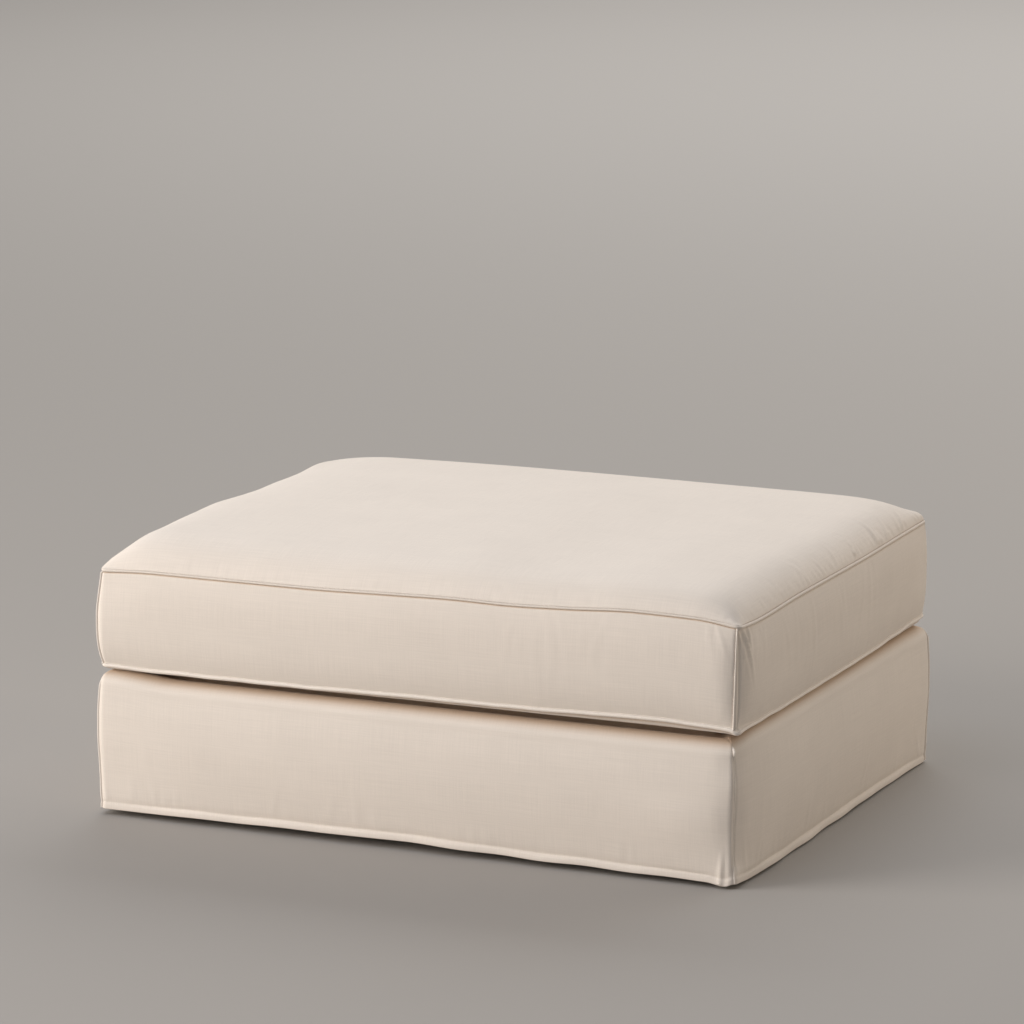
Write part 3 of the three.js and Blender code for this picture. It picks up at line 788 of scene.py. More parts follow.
turns = np.linspace(0, math.pi / 2, SHOULDER_RINGS + 1)
visible_turns = turns[turns < SEAM_END_TURN]
flat_rings = len(base_wall) - SHOULDER_RINGS
lean = np.concatenate([np.zeros(flat_rings), visible_turns[1:]])
for name, stop in CORNER_STOPS.items():
    place = PLACE[stop] + CORNER_RADIUS * BASE_SEAM_TURN[name] / 45
    path = np.array([around_ring(level, place) for level in base_wall[: len(lean)]])
    straight = unit(around_ring(OUTWARD, place))
    away = np.column_stack([np.cos(lean)[:, None] * straight, np.sin(lean)])
    heights = path[:, 2]
    bunch = BUNCHING[name] * bell(heights, SHOULDER_Z, BUNCH_SPREAD)
    turned_in = ease(heights, SHOULDER_Z - SINK_START, DECK_Z)
    sink = BASE_SEAM_SINK[name] + SINK_AT_DECK * turned_in
    path -= away * (sink - BUNCH_RISE * bunch)[:, None]
    seam = grown(f"base_edge_{name}", path, away, False, SEWN_LINE, BASE_SEAM, 1 + bunch)
    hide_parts(f"base_seam_{name}")
    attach(seam, "root")


# The hem's line of stitches
# A lockstitch in thick ecru thread goes through both turns of the hem, all the way round, and
# draws the cloth in a little.
HEM_STITCH = {"Pitch": 0.0042, "Length": 0.0033, "Thickness": 0.0007, "Sink": 0.0001}
THREAD_COLOUR = (0.78, 0.71, 0.62)


def stitches_tree():
    """Geometry Nodes: short raised stitches, one after the other along a path."""
    tree, nodes, wires = path_tree("stitches", tuple(HEM_STITCH), {"Cloth": "Material"})
    path, pitch, length, thickness, sink, cloth = wires
    curve = nodes.add("GeometryNodeMeshToCurve", inputs={"Mesh": path})
    outward = read(nodes, "outward", "FLOAT_VECTOR")
    curve = nodes.add(
        "GeometryNodeSetCurveNormal", {"mode": "FREE"}, {"Curve": curve, "Normal": outward}
    )
    points, tangent, normal, _ = nodes.add(
        "GeometryNodeCurveToPoints",
        {"mode": "LENGTH"},
        {"Curve": curve, "Length": pitch},
        output=None,
    )
    turned = nodes.add(
        "FunctionNodeAxesToRotation",
        {"primary_axis": "X", "secondary_axis": "Z"},
        {"Primary Axis": tangent, "Secondary Axis": normal},
    )
    ball = nodes.add(
        "GeometryNodeMeshUVSphere", inputs={"Segments": 8, "Rings": 5, "Radius": 0.5}
    )
    shape = nodes.add("ShaderNodeCombineXYZ", inputs={0: length, 1: thickness, 2: thickness})
    drop = nodes.add("ShaderNodeCombineXYZ", inputs={2: sink * -1.0})
    stitch = nodes.add(
        "GeometryNodeTransform",
        inputs={"Geometry": ball, "Translation": drop, "Scale": shape},
    )
    vary = nodes.add(
        "FunctionNodeRandomValue",
        {"data_type": "FLOAT"},
        {"Min": 0.9, "Max": 1.1, "Seed": 5},
        output=1,
    )
    sewn = nodes.add(
        "GeometryNodeInstanceOnPoints",
        inputs={"Points": points, "Instance": stitch, "Rotation": turned, "Scale": vary},
    )
    end_tree(nodes, sewn, cloth)
    return tree


def twisted_thread():
    """Sewing thread: plied, so it is ribbed on a slant and a little glossy."""
    material, nodes = blank_material("sewing thread")
    place = nodes.add("ShaderNodeTexCoord", output=3)
    x, y, z = nodes.add("ShaderNodeSeparateXYZ", inputs={0: place}, output=None)
    ply = ((x + y + z) * 9000.0).sine()
    finish(nodes, (*THREAD_COLOUR, 1), 0.6 + ply * 0.05, ply, (0.5, 0.0001), {})
    return material


outward = np.column_stack([OUTWARD, np.zeros(len(OUTWARD))])
stitches = grown(
    "hem_stitches",
    base_wall[HEM_RINGS],
    outward,
    True,
    stitches_tree(),
    HEM_STITCH | {"Cloth": twisted_thread()},
)
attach(stitches, "root")


# The feet
# Four low black plastic glides are nailed to the frame's underside, a little in from its corners.
def black_plastic():
    """Moulded plastic: smooth, faintly mottled, scuffed lighter in places."""
    material, nodes = blank_material("black plastic")
    place = nodes.add("ShaderNodeTexCoord", output=3)
    grain = nodes.add(
        "ShaderNodeTexNoise", inputs={"Vector": place, "Scale": 900.0, "Detail": 3.0}
    )
    scuffs = nodes.add(
        "ShaderNodeTexNoise", inputs={"Vector": place, "Scale": 70.0, "Detail": 4.0}
    )
    tone = 0.008 + scuffs * 0.012
    colour = nodes.add("ShaderNodeCombineColor", inputs={0: tone, 1: tone, 2: tone})
    finish(nodes, colour, 0.4 + scuffs * 0.25, grain, (0.2, 0.0001), {})
    return material


FOOT_SIDES = 64
FOOT_FILLET = 0.0015
FILLET_STEPS = 7
FOOT_DRAFT = 0.0006  # the side leans in this much towards the sole
SOLE_HOLLOW = 0.0006  # the middle of the sole is moulded this deep
HOLLOW_EDGES = (0.72, 0.76)  # of the hollow's floor and its rim, as shares of the sole
HEAD_BEVEL = (0.0005, 0.0006)  # in and down, where the foot meets the frame
SHARPEST = math.radians(40)  # edges that turn more than this look sharp
plastic = black_plastic()
for name in CORNER_STOPS:
    low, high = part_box(f"foot_{name}")
    middle = (low + high) / 2
    radius = (high.x - low.x) / 2
    sole_edge = radius - FOOT_DRAFT - FOOT_FILLET
    profile = [(sole_edge * HOLLOW_EDGES[0], SOLE_HOLLOW), (sole_edge * HOLLOW_EDGES[1], 0)]
    for turn in np.linspace(-math.pi / 2, 0, FILLET_STEPS):
        out = sole_edge + FOOT_FILLET * math.cos(turn)
        profile.append((out, FOOT_FILLET * (1 + math.sin(turn))))
    profile += [(radius, high.z - HEAD_BEVEL[1]), (radius - HEAD_BEVEL[0], high.z)]
    angles = np.linspace(0, 2 * math.pi, FOOT_SIDES, endpoint=False)
    flat = np.column_stack([np.cos(angles), np.sin(angles)])
    lathe = [np.column_stack([flat * out, np.full(FOOT_SIDES, z)]) for out, z in profile]
    lathe = np.concatenate(lathe) + (middle.x, middle.y, 0)
    skin = wall_faces(len(profile), FOOT_SIDES)[0].tolist()
    skin.append(range(FOOT_SIDES)[::-1])
    skin.append(range((len(profile) - 1) * FOOT_SIDES, len(profile) * FOOT_SIDES))
    mesh = bpy.data.meshes.new(f"glide_{name}")
    mesh.from_pydata(lathe.tolist(), [], skin)
    mesh.materials.append(plastic)
    mesh.shade_smooth()
    mesh.set_sharp_from_angle(angle=SHARPEST)
    glide = placed(f"glide_{name}", mesh)
    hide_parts(f"foot_{name}")
    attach(glide, "root")


# The cushion's cover
# A loose box cushion with a soft filling: a bottom panel, four boxing panels sewn together up the
# corners, and a top panel that the filling lifts into a crown. Cloth simulation fills it.

# Distance along each side, and height of the top seam there.
TOP_SEAM = {
    "front": [
        (0, 0.365), (0.09, 0.368), (0.33, 0.368), (0.47, 0.371), (0.57, 0.373), (0.64, 0.372),
        (0.74, 0.375), (0.84, 0.38), (0.93, 0.3785),
    ],
    "right": [(0, 0.371), (0.085, 0.367), (0.245, 0.3705), (0.5, 0.3715), (0.68, 0.375)],
    "back": [(0, 0.377), (0.12, 0.379), (0.6, 0.38), (0.87, 0.377)],
    "left": [(0, 0.369), (0.09, 0.374), (0.45, 0.3765), (0.72, 0.377), (0.77, 0.3715)],
}
BOTTOM_SEAM = {
    "front": [
        (0, 0.225), (0.1, 0.2235), (0.32, 0.2245), (0.5, 0.2275), (0.7, 0.2295), (0.88, 0.232),
        (0.98, 0.2275),
    ],
    "right": [(0, 0.2225), (0.02, 0.2238), (0.18, 0.2225), (0.52, 0.224)],
    "back": [(0, 0.231), (0.2, 0.226), (0.7, 0.225)],
    "left": [(0, 0.227), (0.25, 0.224)],
}
# The filling has pushed the front's lower seam a little further down: place, and how far.
PUSHED_DOWN = [
    (0, 0.0008), (0.15, 0.0009), (0.31, 0.0015), (0.47, 0.0016), (0.63, 0.0026),
    (0.72, 0.0024), (0.85, 0.0013), (0.92, 0.0018), (1, 0.001), (1.08, 0),
]
WELT_INSET = 0.005
TOP_WELT_RADIUS = 0.0023
BOTTOM_WELT_RADIUS = 0.0029
FRONT_WELT_SHARE = 0.72  # the filling presses the front of the top welt thinner
PRESSED_FROM = (0.01, 0.06)
PRESSED_TO = (LENGTH - 0.05, LENGTH - 0.005)
WELT_ROOM = 0.0001
GROOVE_STEPS = 11
# Degrees round the cord at which the cloth leaves it, below and above. 0 is straight outwards.
BOTTOM_GROOVE = (262, 52)
TOP_GROOVE = (232, 88)

BOXING_RINGS = 34
CLOSER_AT_SEAMS = 0.8  # how much closer together the rings are near the seams
SIDE_SWELL = 0.01
SWELL_POWER = 3  # the higher, the quicker the boxing swells out of its seams
WEAKER_SWELL = (1.4, 0.06)  # less of that power at the front left corner, and how far along
# How much less the boxing swells at each corner, and how far along the sides that is felt.
CORNER_CUT = {
    "front_left": (0.0005, 0.06),
    "front_right": (0.0075, 0.02),
    "back_right": (0.004, 0.05),
    "back_left": (0.002, 0.06),
}
# Under the top seam the boxing folds over in a lip: share of the swell, and how round it is.
LIP_SHARE = 0.2
LIP_POWER = 8
LIP_ROUNDNESS = 0.026

# The top panel stands up straight out of its seam, then rises quickly, then slowly.
CROWN_LIP = 0.0016
LIP_REACH = 0.0009
LIP_FROM_FRONT = 0.06  # along the front it has no lip
CROWN_RISE = 0.036
CROWN_REACH = 0.017
CROWN_MIDDLE = 0.006
CUSHION_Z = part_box("cushion")[0].z

top_z = all_round(TOP_SEAM)
pushed = np.interp(PLACE, *zip(*PUSHED_DOWN), right=0)
bottom_z = all_round(BOTTOM_SEAM) + waver(wave=0.12, depth=0.00025, seed=21) - pushed
swell = SIDE_SWELL - sum(
    cut * bell(round_from(PLACE[CORNER_STOPS[name]]), 0, reach)
    for name, (cut, reach) in CORNER_CUT.items()
)
front_share = ease(PLACE, *PRESSED_FROM) * (1 - ease(PLACE, *PRESSED_TO))
top_welt_radius = TOP_WELT_RADIUS * (1 - (1 - FRONT_WELT_SHARE) * front_share)
bottom_welt_radius = np.full(len(PLACE), BOTTOM_WELT_RADIUS)


def groove(radius, seam_z, turns):
    """The rings in which the cover's cloth lies against a welt, between two angles."""
    reach = radius + WELT_ROOM
    return [
        ring(WELT_INSET, reach * math.cos(turn), seam_z + reach * math.sin(turn))
        for turn in np.radians(np.linspace(*turns, GROOVE_STEPS))
    ]


# The bottom panel, from its seam in to where it lies flat on the deck: inset, and share of the
# seam's height.
UNDERSIDE = [
    (0.0066, 1), (0.0071, 0.84), (0.0083, 0.56), (0.0104, 0.34), (0.0135, 0.21),
    (0.018, 0.17), (0.026, 0.16), (0.042, 0.14), (0.056, 0.08), (0.078, 0),
]
FLAT_INSETS = (0.3, 0.12)  # of the rings inside that

bottom_groove = groove(bottom_welt_radius, bottom_z, BOTTOM_GROOVE)
top_groove = groove(top_welt_radius, top_z, TOP_GROOVE)
lip_z = bottom_groove[0][:, 2]
under = [ring(inset, 0, CUSHION_Z) for inset in FLAT_INSETS]
for inset, share in UNDERSIDE[:0:-1]:
    under.append(ring(inset, 0, CUSHION_Z + (lip_z - CUSHION_Z) * share))

# Degrees that each upright seam is turned off its corner's diagonal, at its foot and its head.
SEAM_TURNS = {
    "front_left": (0, 0),
    "front_right": (-44, -12),
    "back_right": (6, 0),
    "back_left": (0, 0),
}

# How deep each upright seam lies, and how far the hollow reaches before the seam and after it.
SEAM_VALLEY = {
    "front_left": (0.0004, 0.004, 0.004),
    "front_right": (0.0024, 0.003, 0.003),
    "back_right": (0.0014, 0.004, 0.004),
    "back_left": (0.0006, 0.004, 0.004),
}
VALLEY_ENDS = 8  # how quickly the hollow comes and goes at the top and bottom seams

# The top and bottom seams gather the boxing. At the front right corner the top one has drawn a
# fan of short creases into both panels: place past the corner, spread, and added strength.
UPPER_GATHERS = {"seed": 31, "gap": 0.015, "width": 0.0042, "reach": 0.016, "depth": 0.0011}
LOWER_GATHERS = {"seed": 32, "gap": 0.024, "width": 0.006, "reach": 0.01, "depth": 0.0006}
CREASE_FANS = [(0.05, 0.04, 5.0), (-0.03, 0.016, 2.6), (0.3, 0.25, 0.5)]
upper_strength = np.full(len(PLACE), 0.12)
for past, spread, strength in CREASE_FANS:
    upper_strength += strength * bell(PLACE - LENGTH, past, spread)
lower_strength = 0.25 + 0.35 * bell(round_from(LENGTH), 0, 0.08)


def seam_place(name, rise):
    """Where round the outline an upright seam runs, at a share of its rise."""
    foot, head = SEAM_TURNS[name]
    return PLACE[CORNER_STOPS[name]] + CORNER_RADIUS * (foot + (head - foot) * rise) / 45


boxing = []
lower, upper = bottom_groove[-1][:, 2], top_groove[0][:, 2]
boxing_height = upper - lower
upper_power = SWELL_POWER - WEAKER_SWELL[0] * bell(round_from(0), 0, WEAKER_SWELL[1])
for evenly in np.linspace(0, 1, BOXING_RINGS + 2)[1:-1]:
    rise = evenly - CLOSER_AT_SEAMS * math.sin(2 * math.pi * evenly) / (2 * math.pi)
    from_middle = abs(2 * rise - 1)
    share = 1 - from_middle ** (upper_power if rise > 0.5 else SWELL_POWER)
    if rise > 0.5:
        folded = 1 - math.exp(-(((1 - from_middle) / LIP_ROUNDNESS) ** 2))
        share += LIP_SHARE * from_middle**LIP_POWER * folded
    valley = 0
    for name, (depth, before, after) in SEAM_VALLEY.items():
        past = PLACE - seam_place(name, rise)
        past = (past + GIRTH / 2) % GIRTH - GIRTH / 2
        valley = valley + depth * np.exp(-np.abs(past) / np.where(past < 0, before, after))
    valley = (valley + rounding) * min(1, VALLEY_ENDS * (1 - from_middle**3))
    out = share * swell - valley - WELT_INSET
    out += gathers(PLACE, (1 - rise) * boxing_height, **UPPER_GATHERS) * upper_strength
    out += gathers(PLACE, rise * boxing_height, **LOWER_GATHERS) * lower_strength
    boxing.append(ring(0, out, lower + boxing_height * rise))
cushion_rings = np.array(under + bottom_groove + boxing + top_groove)

# The top panel's own grid, square to the sides, whose rim is the last ring.
rim = cushion_rings[-1]
rim_inset = WELT_INSET - TOP_WELT_RADIUS * math.cos(math.radians(TOP_GROOVE[1]))
long_marks = np.append(side_stops(LENGTH), LENGTH)
short_marks = np.append(side_stops(DEPTH), DEPTH)
COLUMNS, ROWS = len(long_marks), len(short_marks)


def grid_line(marks, length):
    """A line of the grid: its straight coordinate, and how far it lies into a corner's arc."""
    radius = max(CORNER_RADIUS - rim_inset, INNER_RADIUS)
    half = length / 2 - rim_inset - radius
    share = np.clip((marks - CORNER_RADIUS) / (length - 2 * CORNER_RADIUS), 0, 1)
    middle = length / 2
    turn = np.clip(1 - np.minimum(marks, length - marks) / CORNER_RADIUS, 0, 1)
    return (2 * share - 1) * half, np.sign(marks - middle) * turn * radius, turn


column_x, column_arc, column_turn = grid_line(long_marks, LENGTH)
row_y, row_arc, row_turn = grid_line(short_marks, DEPTH)
grid_x = column_x[:, None] + column_arc[:, None] * np.sqrt(1 - row_turn[None, :] ** 2 / 2)
grid_y = row_y[None, :] + row_arc[None, :] * np.sqrt(1 - column_turn[:, None] ** 2 / 2)

# Where the rim's stops lie in the grid, walked as the outline is.
last_column, last_row = COLUMNS - 1, ROWS - 1
to_right, to_back = np.arange(last_column), np.arange(last_row)
to_left, to_front = np.arange(last_column, 0, -1), np.arange(last_row, 0, -1)
walk_i = np.concatenate([to_right, np.full(last_row, last_column), to_left, 0 * to_front])
walk_j = np.concatenate([0 * to_right, to_back, np.full(last_column, last_row), to_front])
seam_z = np.zeros((COLUMNS, ROWS))
seam_z[walk_i, walk_j] = rim[:, 2]
u = (grid_x / (LENGTH / 2 - rim_inset) + 1) / 2
v = (grid_y / (DEPTH / 2 - rim_inset) + 1) / 2
corners_front = seam_z[0, 0] * (1 - u) + seam_z[-1, 0] * u
corners_back = seam_z[0, -1] * (1 - u) + seam_z[-1, -1] * u
carried = (
    seam_z[:, :1] * (1 - v)
    + seam_z[:, -1:] * v
    + seam_z[:1, :] * (1 - u)
    + seam_z[-1:, :] * u
    - corners_front * (1 - v)
    - corners_back * v
)
from_side_x = LENGTH / 2 - rim_inset - np.abs(grid_x)
from_side_y = DEPTH / 2 - rim_inset - np.abs(grid_y)
quick = (1 - np.exp(-from_side_x / CROWN_REACH)) * (1 - np.exp(-from_side_y / CROWN_REACH))
slow = 16 * u * (1 - u) * v * (1 - v)
lip = (1 - np.exp(-from_side_x / LIP_REACH)) * (1 - np.exp(-from_side_y / LIP_REACH))
lip = lip * (1 - bell(DEPTH / 2 + grid_y, 0, LIP_FROM_FRONT))
quick_rise = CROWN_RISE * quick + CROWN_LIP * (lip - quick)
grid_z = carried + quick_rise + CROWN_MIDDLE * slow


from_left = LENGTH / 2 - rim_inset + grid_x
from_front = DEPTH / 2 - rim_inset + grid_y
from_right = LENGTH / 2 - rim_inset - grid_x
from_back = DEPTH / 2 - rim_inset - grid_y

# Along the left seam the filling is uneven, low near the front, then full and low by turns:
# height, distance in from the seam, place along it, and spread along it.
UNEVEN_LEFT = [
    (-0.009, 0.022, 0.09, 0.085), (-0.033, -0.002, 0.07, 0.045), (0.0035, 0.02, 0.31, 0.05),
    (-0.003, 0.02, 0.435, 0.05), (0.0065, 0.025, 0.66, 0.05),
]
UNEVEN_WIDTH = 0.018
for height, in_from_seam, place, spread in UNEVEN_LEFT:
    inwards = ((from_left - in_from_seam) / UNEVEN_WIDTH) ** 2
    grid_z += height * np.exp(-inwards - ((from_front - place) / spread) ** 2) * quick

# In the back right corner the top panel climbs straight out of its seam, then rises slowly.
STEP_RISE = 0.012
STEP_REACH = (0.0035, 0.0035)
SLOW_RISE = 0.026
SLOW_REACH = (0.05, 0.03)
STEP_CORNER = 0.075  # how far from the corner that is felt


def corner_climb(height, reach):
    """A rise out of both seams of the back right corner."""
    return height * (1 - np.exp(-from_right / reach[0])) * (1 - np.exp(-from_back / reach[1]))


climb = carried + corner_climb(STEP_RISE, STEP_REACH) + corner_climb(SLOW_RISE, SLOW_REACH)
near_corner = np.exp(-(from_right**2 + from_back**2) / STEP_CORNER**2)
grid_z += (climb - grid_z) * near_corner

# The seams gather the edge of the top panel, most of all towards the back right corner.
CROWN_GATHERS = {"seed": 33, "gap": 0.016, "width": 0.0045, "reach": 0.014, "depth": 0.0013}
MOST_FROM = (0.15, 0.55)
MOST_TO = (0.66, 0.77)
GATHERS_START = 0.004  # in from the seam
top = np.stack([grid_x, grid_y, grid_z], axis=-1)
facing = np.cross(np.gradient(top, axis=0), np.gradient(top, axis=1))
facing /= np.linalg.norm(facing, axis=2, keepdims=True)
puckers = 0
right_strength = 0.4 + 2.6 * ease(from_front, *MOST_FROM) * (1 - ease(from_front, *MOST_TO))
for from_seam, place, strength in (
    (from_front, from_left, 0.15),
    (from_right, LENGTH + from_front, right_strength),
    (from_back, LENGTH + DEPTH + from_right, 0.5),
    (from_left, GIRTH - from_front, 0.35),
):
    along_cloth = from_seam + CROWN_RISE * (1 - np.exp(-from_seam / CROWN_REACH))
    puckers = puckers + strength * gathers(place, along_cloth, **CROWN_GATHERS)
from_seam = np.minimum(from_side_x, from_side_y)
top += facing * (puckers * ease(from_seam, 0, GATHERS_START))[..., None]

rim_start = (len(cushion_rings) - 1) * len(PLACE)
numbers = np.full((COLUMNS, ROWS), -1)
numbers[walk_i, walk_j] = rim_start + np.arange(len(PLACE))
inside = numbers < 0
middle_number = len(cushion_rings) * len(PLACE)
numbers[inside] = middle_number + 1 + np.arange(inside.sum())
points = np.concatenate([cushion_rings.reshape(-1, 3), [(0, 0, CUSHION_Z)], top[inside]])
quads = [numbers[:-1, :-1], numbers[1:, :-1], numbers[1:, 1:], numbers[:-1, 1:]]
quads = np.stack(quads, axis=-1).reshape(-1, 4)
faces, across, up = wall_faces(len(cushion_rings), len(PLACE))
threads = thread_lengths(cushion_rings)
below = fan_faces(0, middle_number, facing_up=False)

# Painted shade: the cloth is darkened under the cushion, and in the crease below the top welt,
# more strongly on the front.
GAP_SHADE_INSETS = (0.0104, 0.0165)  # between which painted shade darkens the gap
SHADE_UNDER_WELT = (0.7, 4)  # how dark the painted shade is just under the bottom welt, and for how many rings
CREASE_SHADE_DEPTHS = [0.25, 0.9]  # painted shade on the last rings of the boxing
# Away from the front, the painted shade in the crease and under the bottom welt is this share of
# the front's.
SIDE_SHADE_SHARE = 0.25
count = len(PLACE)
first_boxing = len(under) + GROOVE_STEPS
under_shade_depths = ease(np.array([inset for inset, _ in UNDERSIDE[:0:-1]]), *GAP_SHADE_INSETS)
shade_share = np.where(PLACE < LENGTH, 1, SIDE_SHADE_SHARE)
shade_depths = np.zeros(len(points))
shade_depths[: len(under) * count] = np.repeat([1, 1, *under_shade_depths], count)
start = (len(under) - 1) * count
shade_depths[start : start + SHADE_UNDER_WELT[1] * count] = np.tile(SHADE_UNDER_WELT[0] * shade_share, SHADE_UNDER_WELT[1])
creases = np.outer(CREASE_SHADE_DEPTHS + [1] * (GROOVE_STEPS // 2), shade_share).ravel()
start = (first_boxing + BOXING_RINGS - len(CREASE_SHADE_DEPTHS)) * count
shade_depths[start : start + len(creases)] = creases
cushion_cover = piece_of(
    "cushion_cover",
    points,
    [faces, below, quads],
    [
        np.stack([around[across], threads[up]], axis=2),
        points[below][:, :, :2],
        points[quads][:, :, :2],
    ],
    panel_canvas,
    shade_depths,
)
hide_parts("cushion")
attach(cushion_cover, "root")

HOLD = 0.25  # of the filling on the cloth that lies over it
SLACK = 0.01  # the most that the cloth is cut too long for its place
PRESSURE = 4
STRETCHING = 15
SHEARING = 5
BENDING = 12
FILL_FRAMES = 12
FILL_QUALITY = 4
MOST_MOVED = 0.0025


def weigh(piece, name, weights):
    """A vertex group with a weight for every point, in steps of a hundredth."""
    group = piece.vertex_groups.new(name=name)
    steps = np.round(weights, 2)
    for weight in np.unique(steps):
        group.add(np.flatnonzero(steps == weight).tolist(), float(weight), "REPLACE")


def places_of(mesh):
    """Where a mesh's points are."""
    places = np.empty(len(mesh.vertices) * 3)
    mesh.vertices.foreach_get("co", places)
    return places.reshape(-1, 3)


def fill_cover(cover, held, slackness, share):
    """Runs the cover as cloth over its filling, and keeps the gathers that its slack falls into.

    held is 1 where the cloth can't move. slackness says where it is cut too long, and share how
    much of its movement is kept.
    """
    scene = bpy.context.scene
    weigh(cover, "held", held)
    weigh(cover, "firm", 1 - slackness)
    modifier = cover.modifiers.new("filling", "CLOTH")
    cloth = modifier.settings
    cloth.quality = FILL_QUALITY
    cloth.tension_stiffness = STRETCHING
    cloth.compression_stiffness = STRETCHING
    cloth.shear_stiffness = SHEARING
    cloth.bending_stiffness = BENDING
    cloth.use_pressure = True
    cloth.uniform_pressure_force = PRESSURE
    cloth.vertex_group_mass = "held"
    cloth.pin_stiffness = 1
    cloth.vertex_group_shrink = "firm"
    cloth.shrink_min = -SLACK
    cloth.shrink_max = 0
    cloth.effector_weights.gravity = 0
    modifier.collision_settings.use_collision = False
    modifier.point_cache.frame_start = 1
    modifier.point_cache.frame_end = FILL_FRAMES
    scene.frame_start = 1
    scene.frame_end = FILL_FRAMES
    for frame_number in range(1, FILL_FRAMES + 1):
        scene.frame_set(frame_number)
    evaluated = cover.evaluated_get(bpy.context.evaluated_depsgraph_get())
    rest = places_of(cover.data)
    moved = (places_of(evaluated.data) - rest) * share[:, None]
    distance = np.linalg.norm(moved, axis=1, keepdims=True)
    moved /= np.sqrt(1 + (distance / MOST_MOVED) ** 2)
    cover.modifiers.remove(modifier)
    cover.vertex_groups.clear()
    scene.frame_set(1)
    cover.data.vertices.foreach_set("co", (rest + moved).ravel())
    cover.data.update()


# Where the cloth is slack, and how much of its movement it keeps: beside the seams, most of all
# in the back right corner of the top panel and beside the front right corner of the boxing.
KEPT = 0.6
SLACK_FADE = 0.032
LEAST_SLACK = 0.35  # of the top panel's, away from that corner
held = np.full(len(points), HOLD)
slackness = np.zeros(len(points))
kept = np.full(len(points), KEPT)
fixed_below = first_boxing * count
fixed_above = fixed_below + BOXING_RINGS * count
held[:fixed_below] = 1
held[fixed_above : middle_number + 1] = 1
boxing_slack = 0.07 + 0.05 * ease(PLACE, 0.35, 0.75) + 0.1 * ease(PLACE, 1.7, 2.2)
boxing_slack += 0.2 * bell(round_from(LENGTH + 0.05), 0, 0.06)
slackness[fixed_below:fixed_above] = np.tile(boxing_slack, BOXING_RINGS)
near_corner = np.exp(-((from_right / 0.08) ** 2) - (from_back / 0.35) ** 2)
top_slack = LEAST_SLACK + (1 - LEAST_SLACK) * near_corner
slackness[middle_number + 1 :] = (np.exp(-from_seam / SLACK_FADE) * top_slack)[inside]
kept[middle_number + 1 :] = (0.45 + 0.5 * (top_slack - LEAST_SLACK))[inside]
fill_cover(cushion_cover, held, slackness, kept)


# The cushion's welts and corner seams
# A cord in a bias strip of the same canvas is sewn in all round, top and bottom. The boxing's
# panels are joined up each corner, and their edges are turned out into a thin line.
# Painted shade: the top welt's canvas is the panels' cloth painted darker, for the shade under the
# crown's edge.
SHADED_TOP_SEAM_TONE = (0.74, 0.67, 0.6)
WELT = {
    "Sink": 0.0,
    "Step": 0.0025,
    "Stitch": 0.0032,
    "Dimple": 0.012,
    "Unevenness": 0.12,
    "Sides": 20,
}
shaded_top_seam_canvas = canvas("top seam canvas", SHADED_TOP_SEAM_TONE, bias=math.pi / 4)
for place, radius, seam_heights, cloth in (
    ("top", top_welt_radius, top_z, shaded_top_seam_canvas),
    ("bottom", bottom_welt_radius, bottom_z, lit_seam_canvas),
):
    path = ring(WELT_INSET, -radius.max(), seam_heights)
    size = {"Width": 2 * radius.max(), "Height": 2 * radius.max(), "Cloth": cloth}
    welt = grown(
        f"{place}_welt_cord", path, outward, True, SEWN_LINE, WELT | size, radius / radius.max()
    )
    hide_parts(f"cushion_{place}_welt")
    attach(welt, "root")

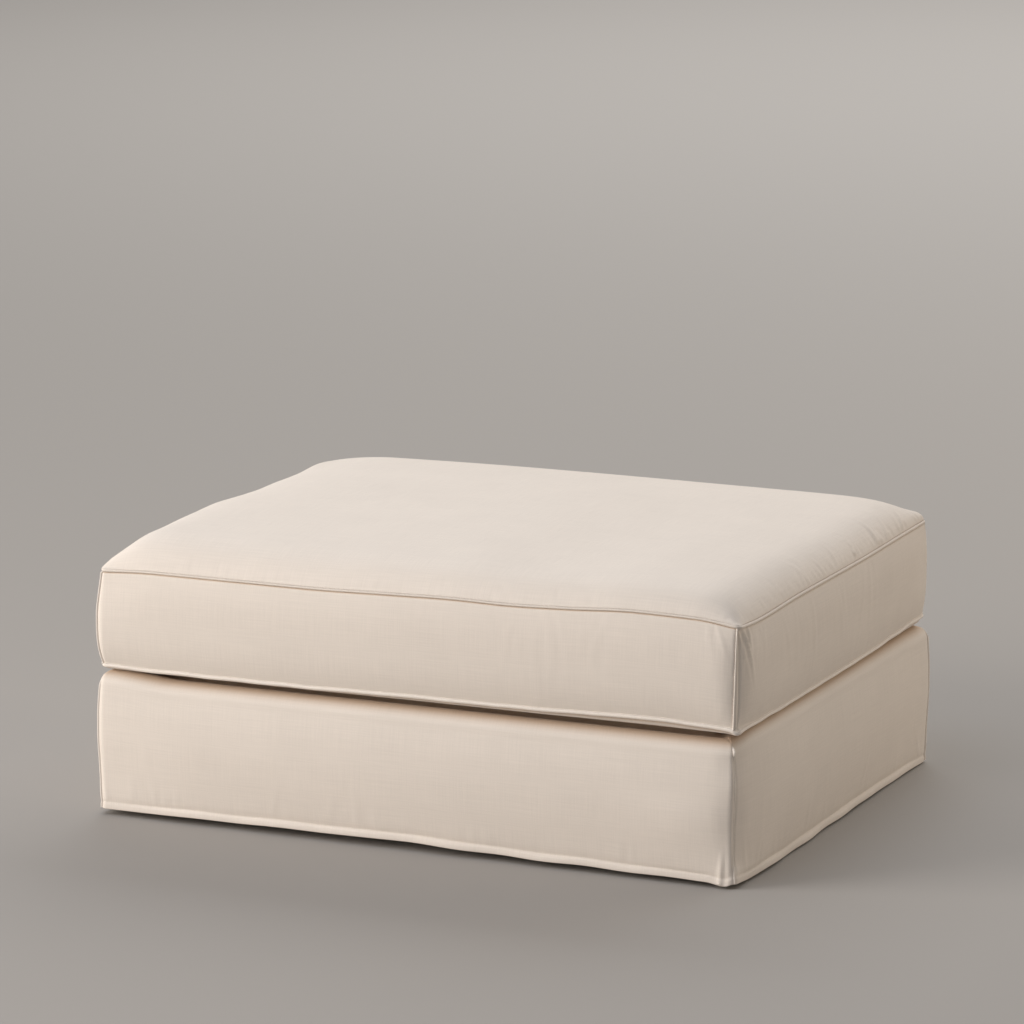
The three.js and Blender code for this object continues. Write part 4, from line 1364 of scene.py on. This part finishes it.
CUSHION_SEAM = {
    "Width": 0.0023,
    "Height": 0.0037,
    "Sink": 0.0008,
    "Step": 0.0015,
    "Stitch": 0.0036,
    "Dimple": 0.03,
    "Unevenness": 0.3,
    "Sides": 14,
    "Cloth": lit_seam_canvas,
}
boxing_wall = cushion_rings[first_boxing - 1 : first_boxing + BOXING_RINGS + 1]
rises = np.linspace(0, 1, len(boxing_wall))
for name in CORNER_STOPS:
    places = [seam_place(name, rise) for rise in rises]
    path = np.array([around_ring(level, place) for level, place in zip(boxing_wall, places)])
    away = unit(np.array([around_ring(outward, place) for place in places]))
    seam = grown(f"cushion_edge_{name}", path, away, False, SEWN_LINE, CUSHION_SEAM)
    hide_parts(f"cushion_seam_{name}")
    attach(seam, "root")


# The floor and the light
# A plain pale floor, a pale surround, a large soft light from the front left with a weaker one
# above it, a warm one from behind the right side, and one over the floor behind.
FLOOR_COLOUR = (0.34, 0.32, 0.3, 1)
FLOOR_SIZE = 120
SURROUND = ((1, 0.96, 0.92, 1), 0.3)  # colour and strength
AIMED_AT = (0, 0, 0.2)

floor_finish = bpy.data.materials.new("pale floor")
floor_finish.use_nodes = True
shader = floor_finish.node_tree.nodes["Principled BSDF"]
shader.inputs["Base Color"].default_value = FLOOR_COLOUR
shader.inputs["Roughness"].default_value = 0.8
bpy.ops.mesh.primitive_plane_add(size=FLOOR_SIZE)
floor = bpy.context.object
floor.name = "floor"
floor.data.materials.append(floor_finish)

world = bpy.data.worlds.new("surround")
bpy.context.scene.world = world
world.use_nodes = True
surround = world.node_tree.nodes["Background"]
surround.inputs["Color"].default_value = SURROUND[0]
surround.inputs["Strength"].default_value = SURROUND[1]


def soft_light(name, place, size, power, colour):
    """A square light that faces the pouf, its side in metres and its power in watts."""
    light = placed(name, bpy.data.lights.new(name, "AREA"))
    light.data.shape = "SQUARE"
    light.data.size = size
    light.data.energy = power
    light.data.color = colour
    back = Vector(place) - Vector(AIMED_AT)
    light.rotation_euler = back.to_track_quat("Z", "Y").to_euler()
    light.location = place
    return light


soft_light("window light", (-4.55, -3.82, 1.9), 3.5, 310, (1.07, 1, 0.93))
soft_light("high light", (-1.07, -2.3, 5.74), 3.5, 76, (0.92, 1, 1.15))
soft_light("far side light", (4.41, 3.97, 1.9), 3.5, 78, (1.2, 1, 0.77))
floor_light = soft_light("light over the floor behind", (-1, 12, 8), 13, 1350, (1, 1, 1))
floor_light.rotation_euler = (0, 0, 0)

bpy.context.scene.view_settings.view_transform = "Standard"
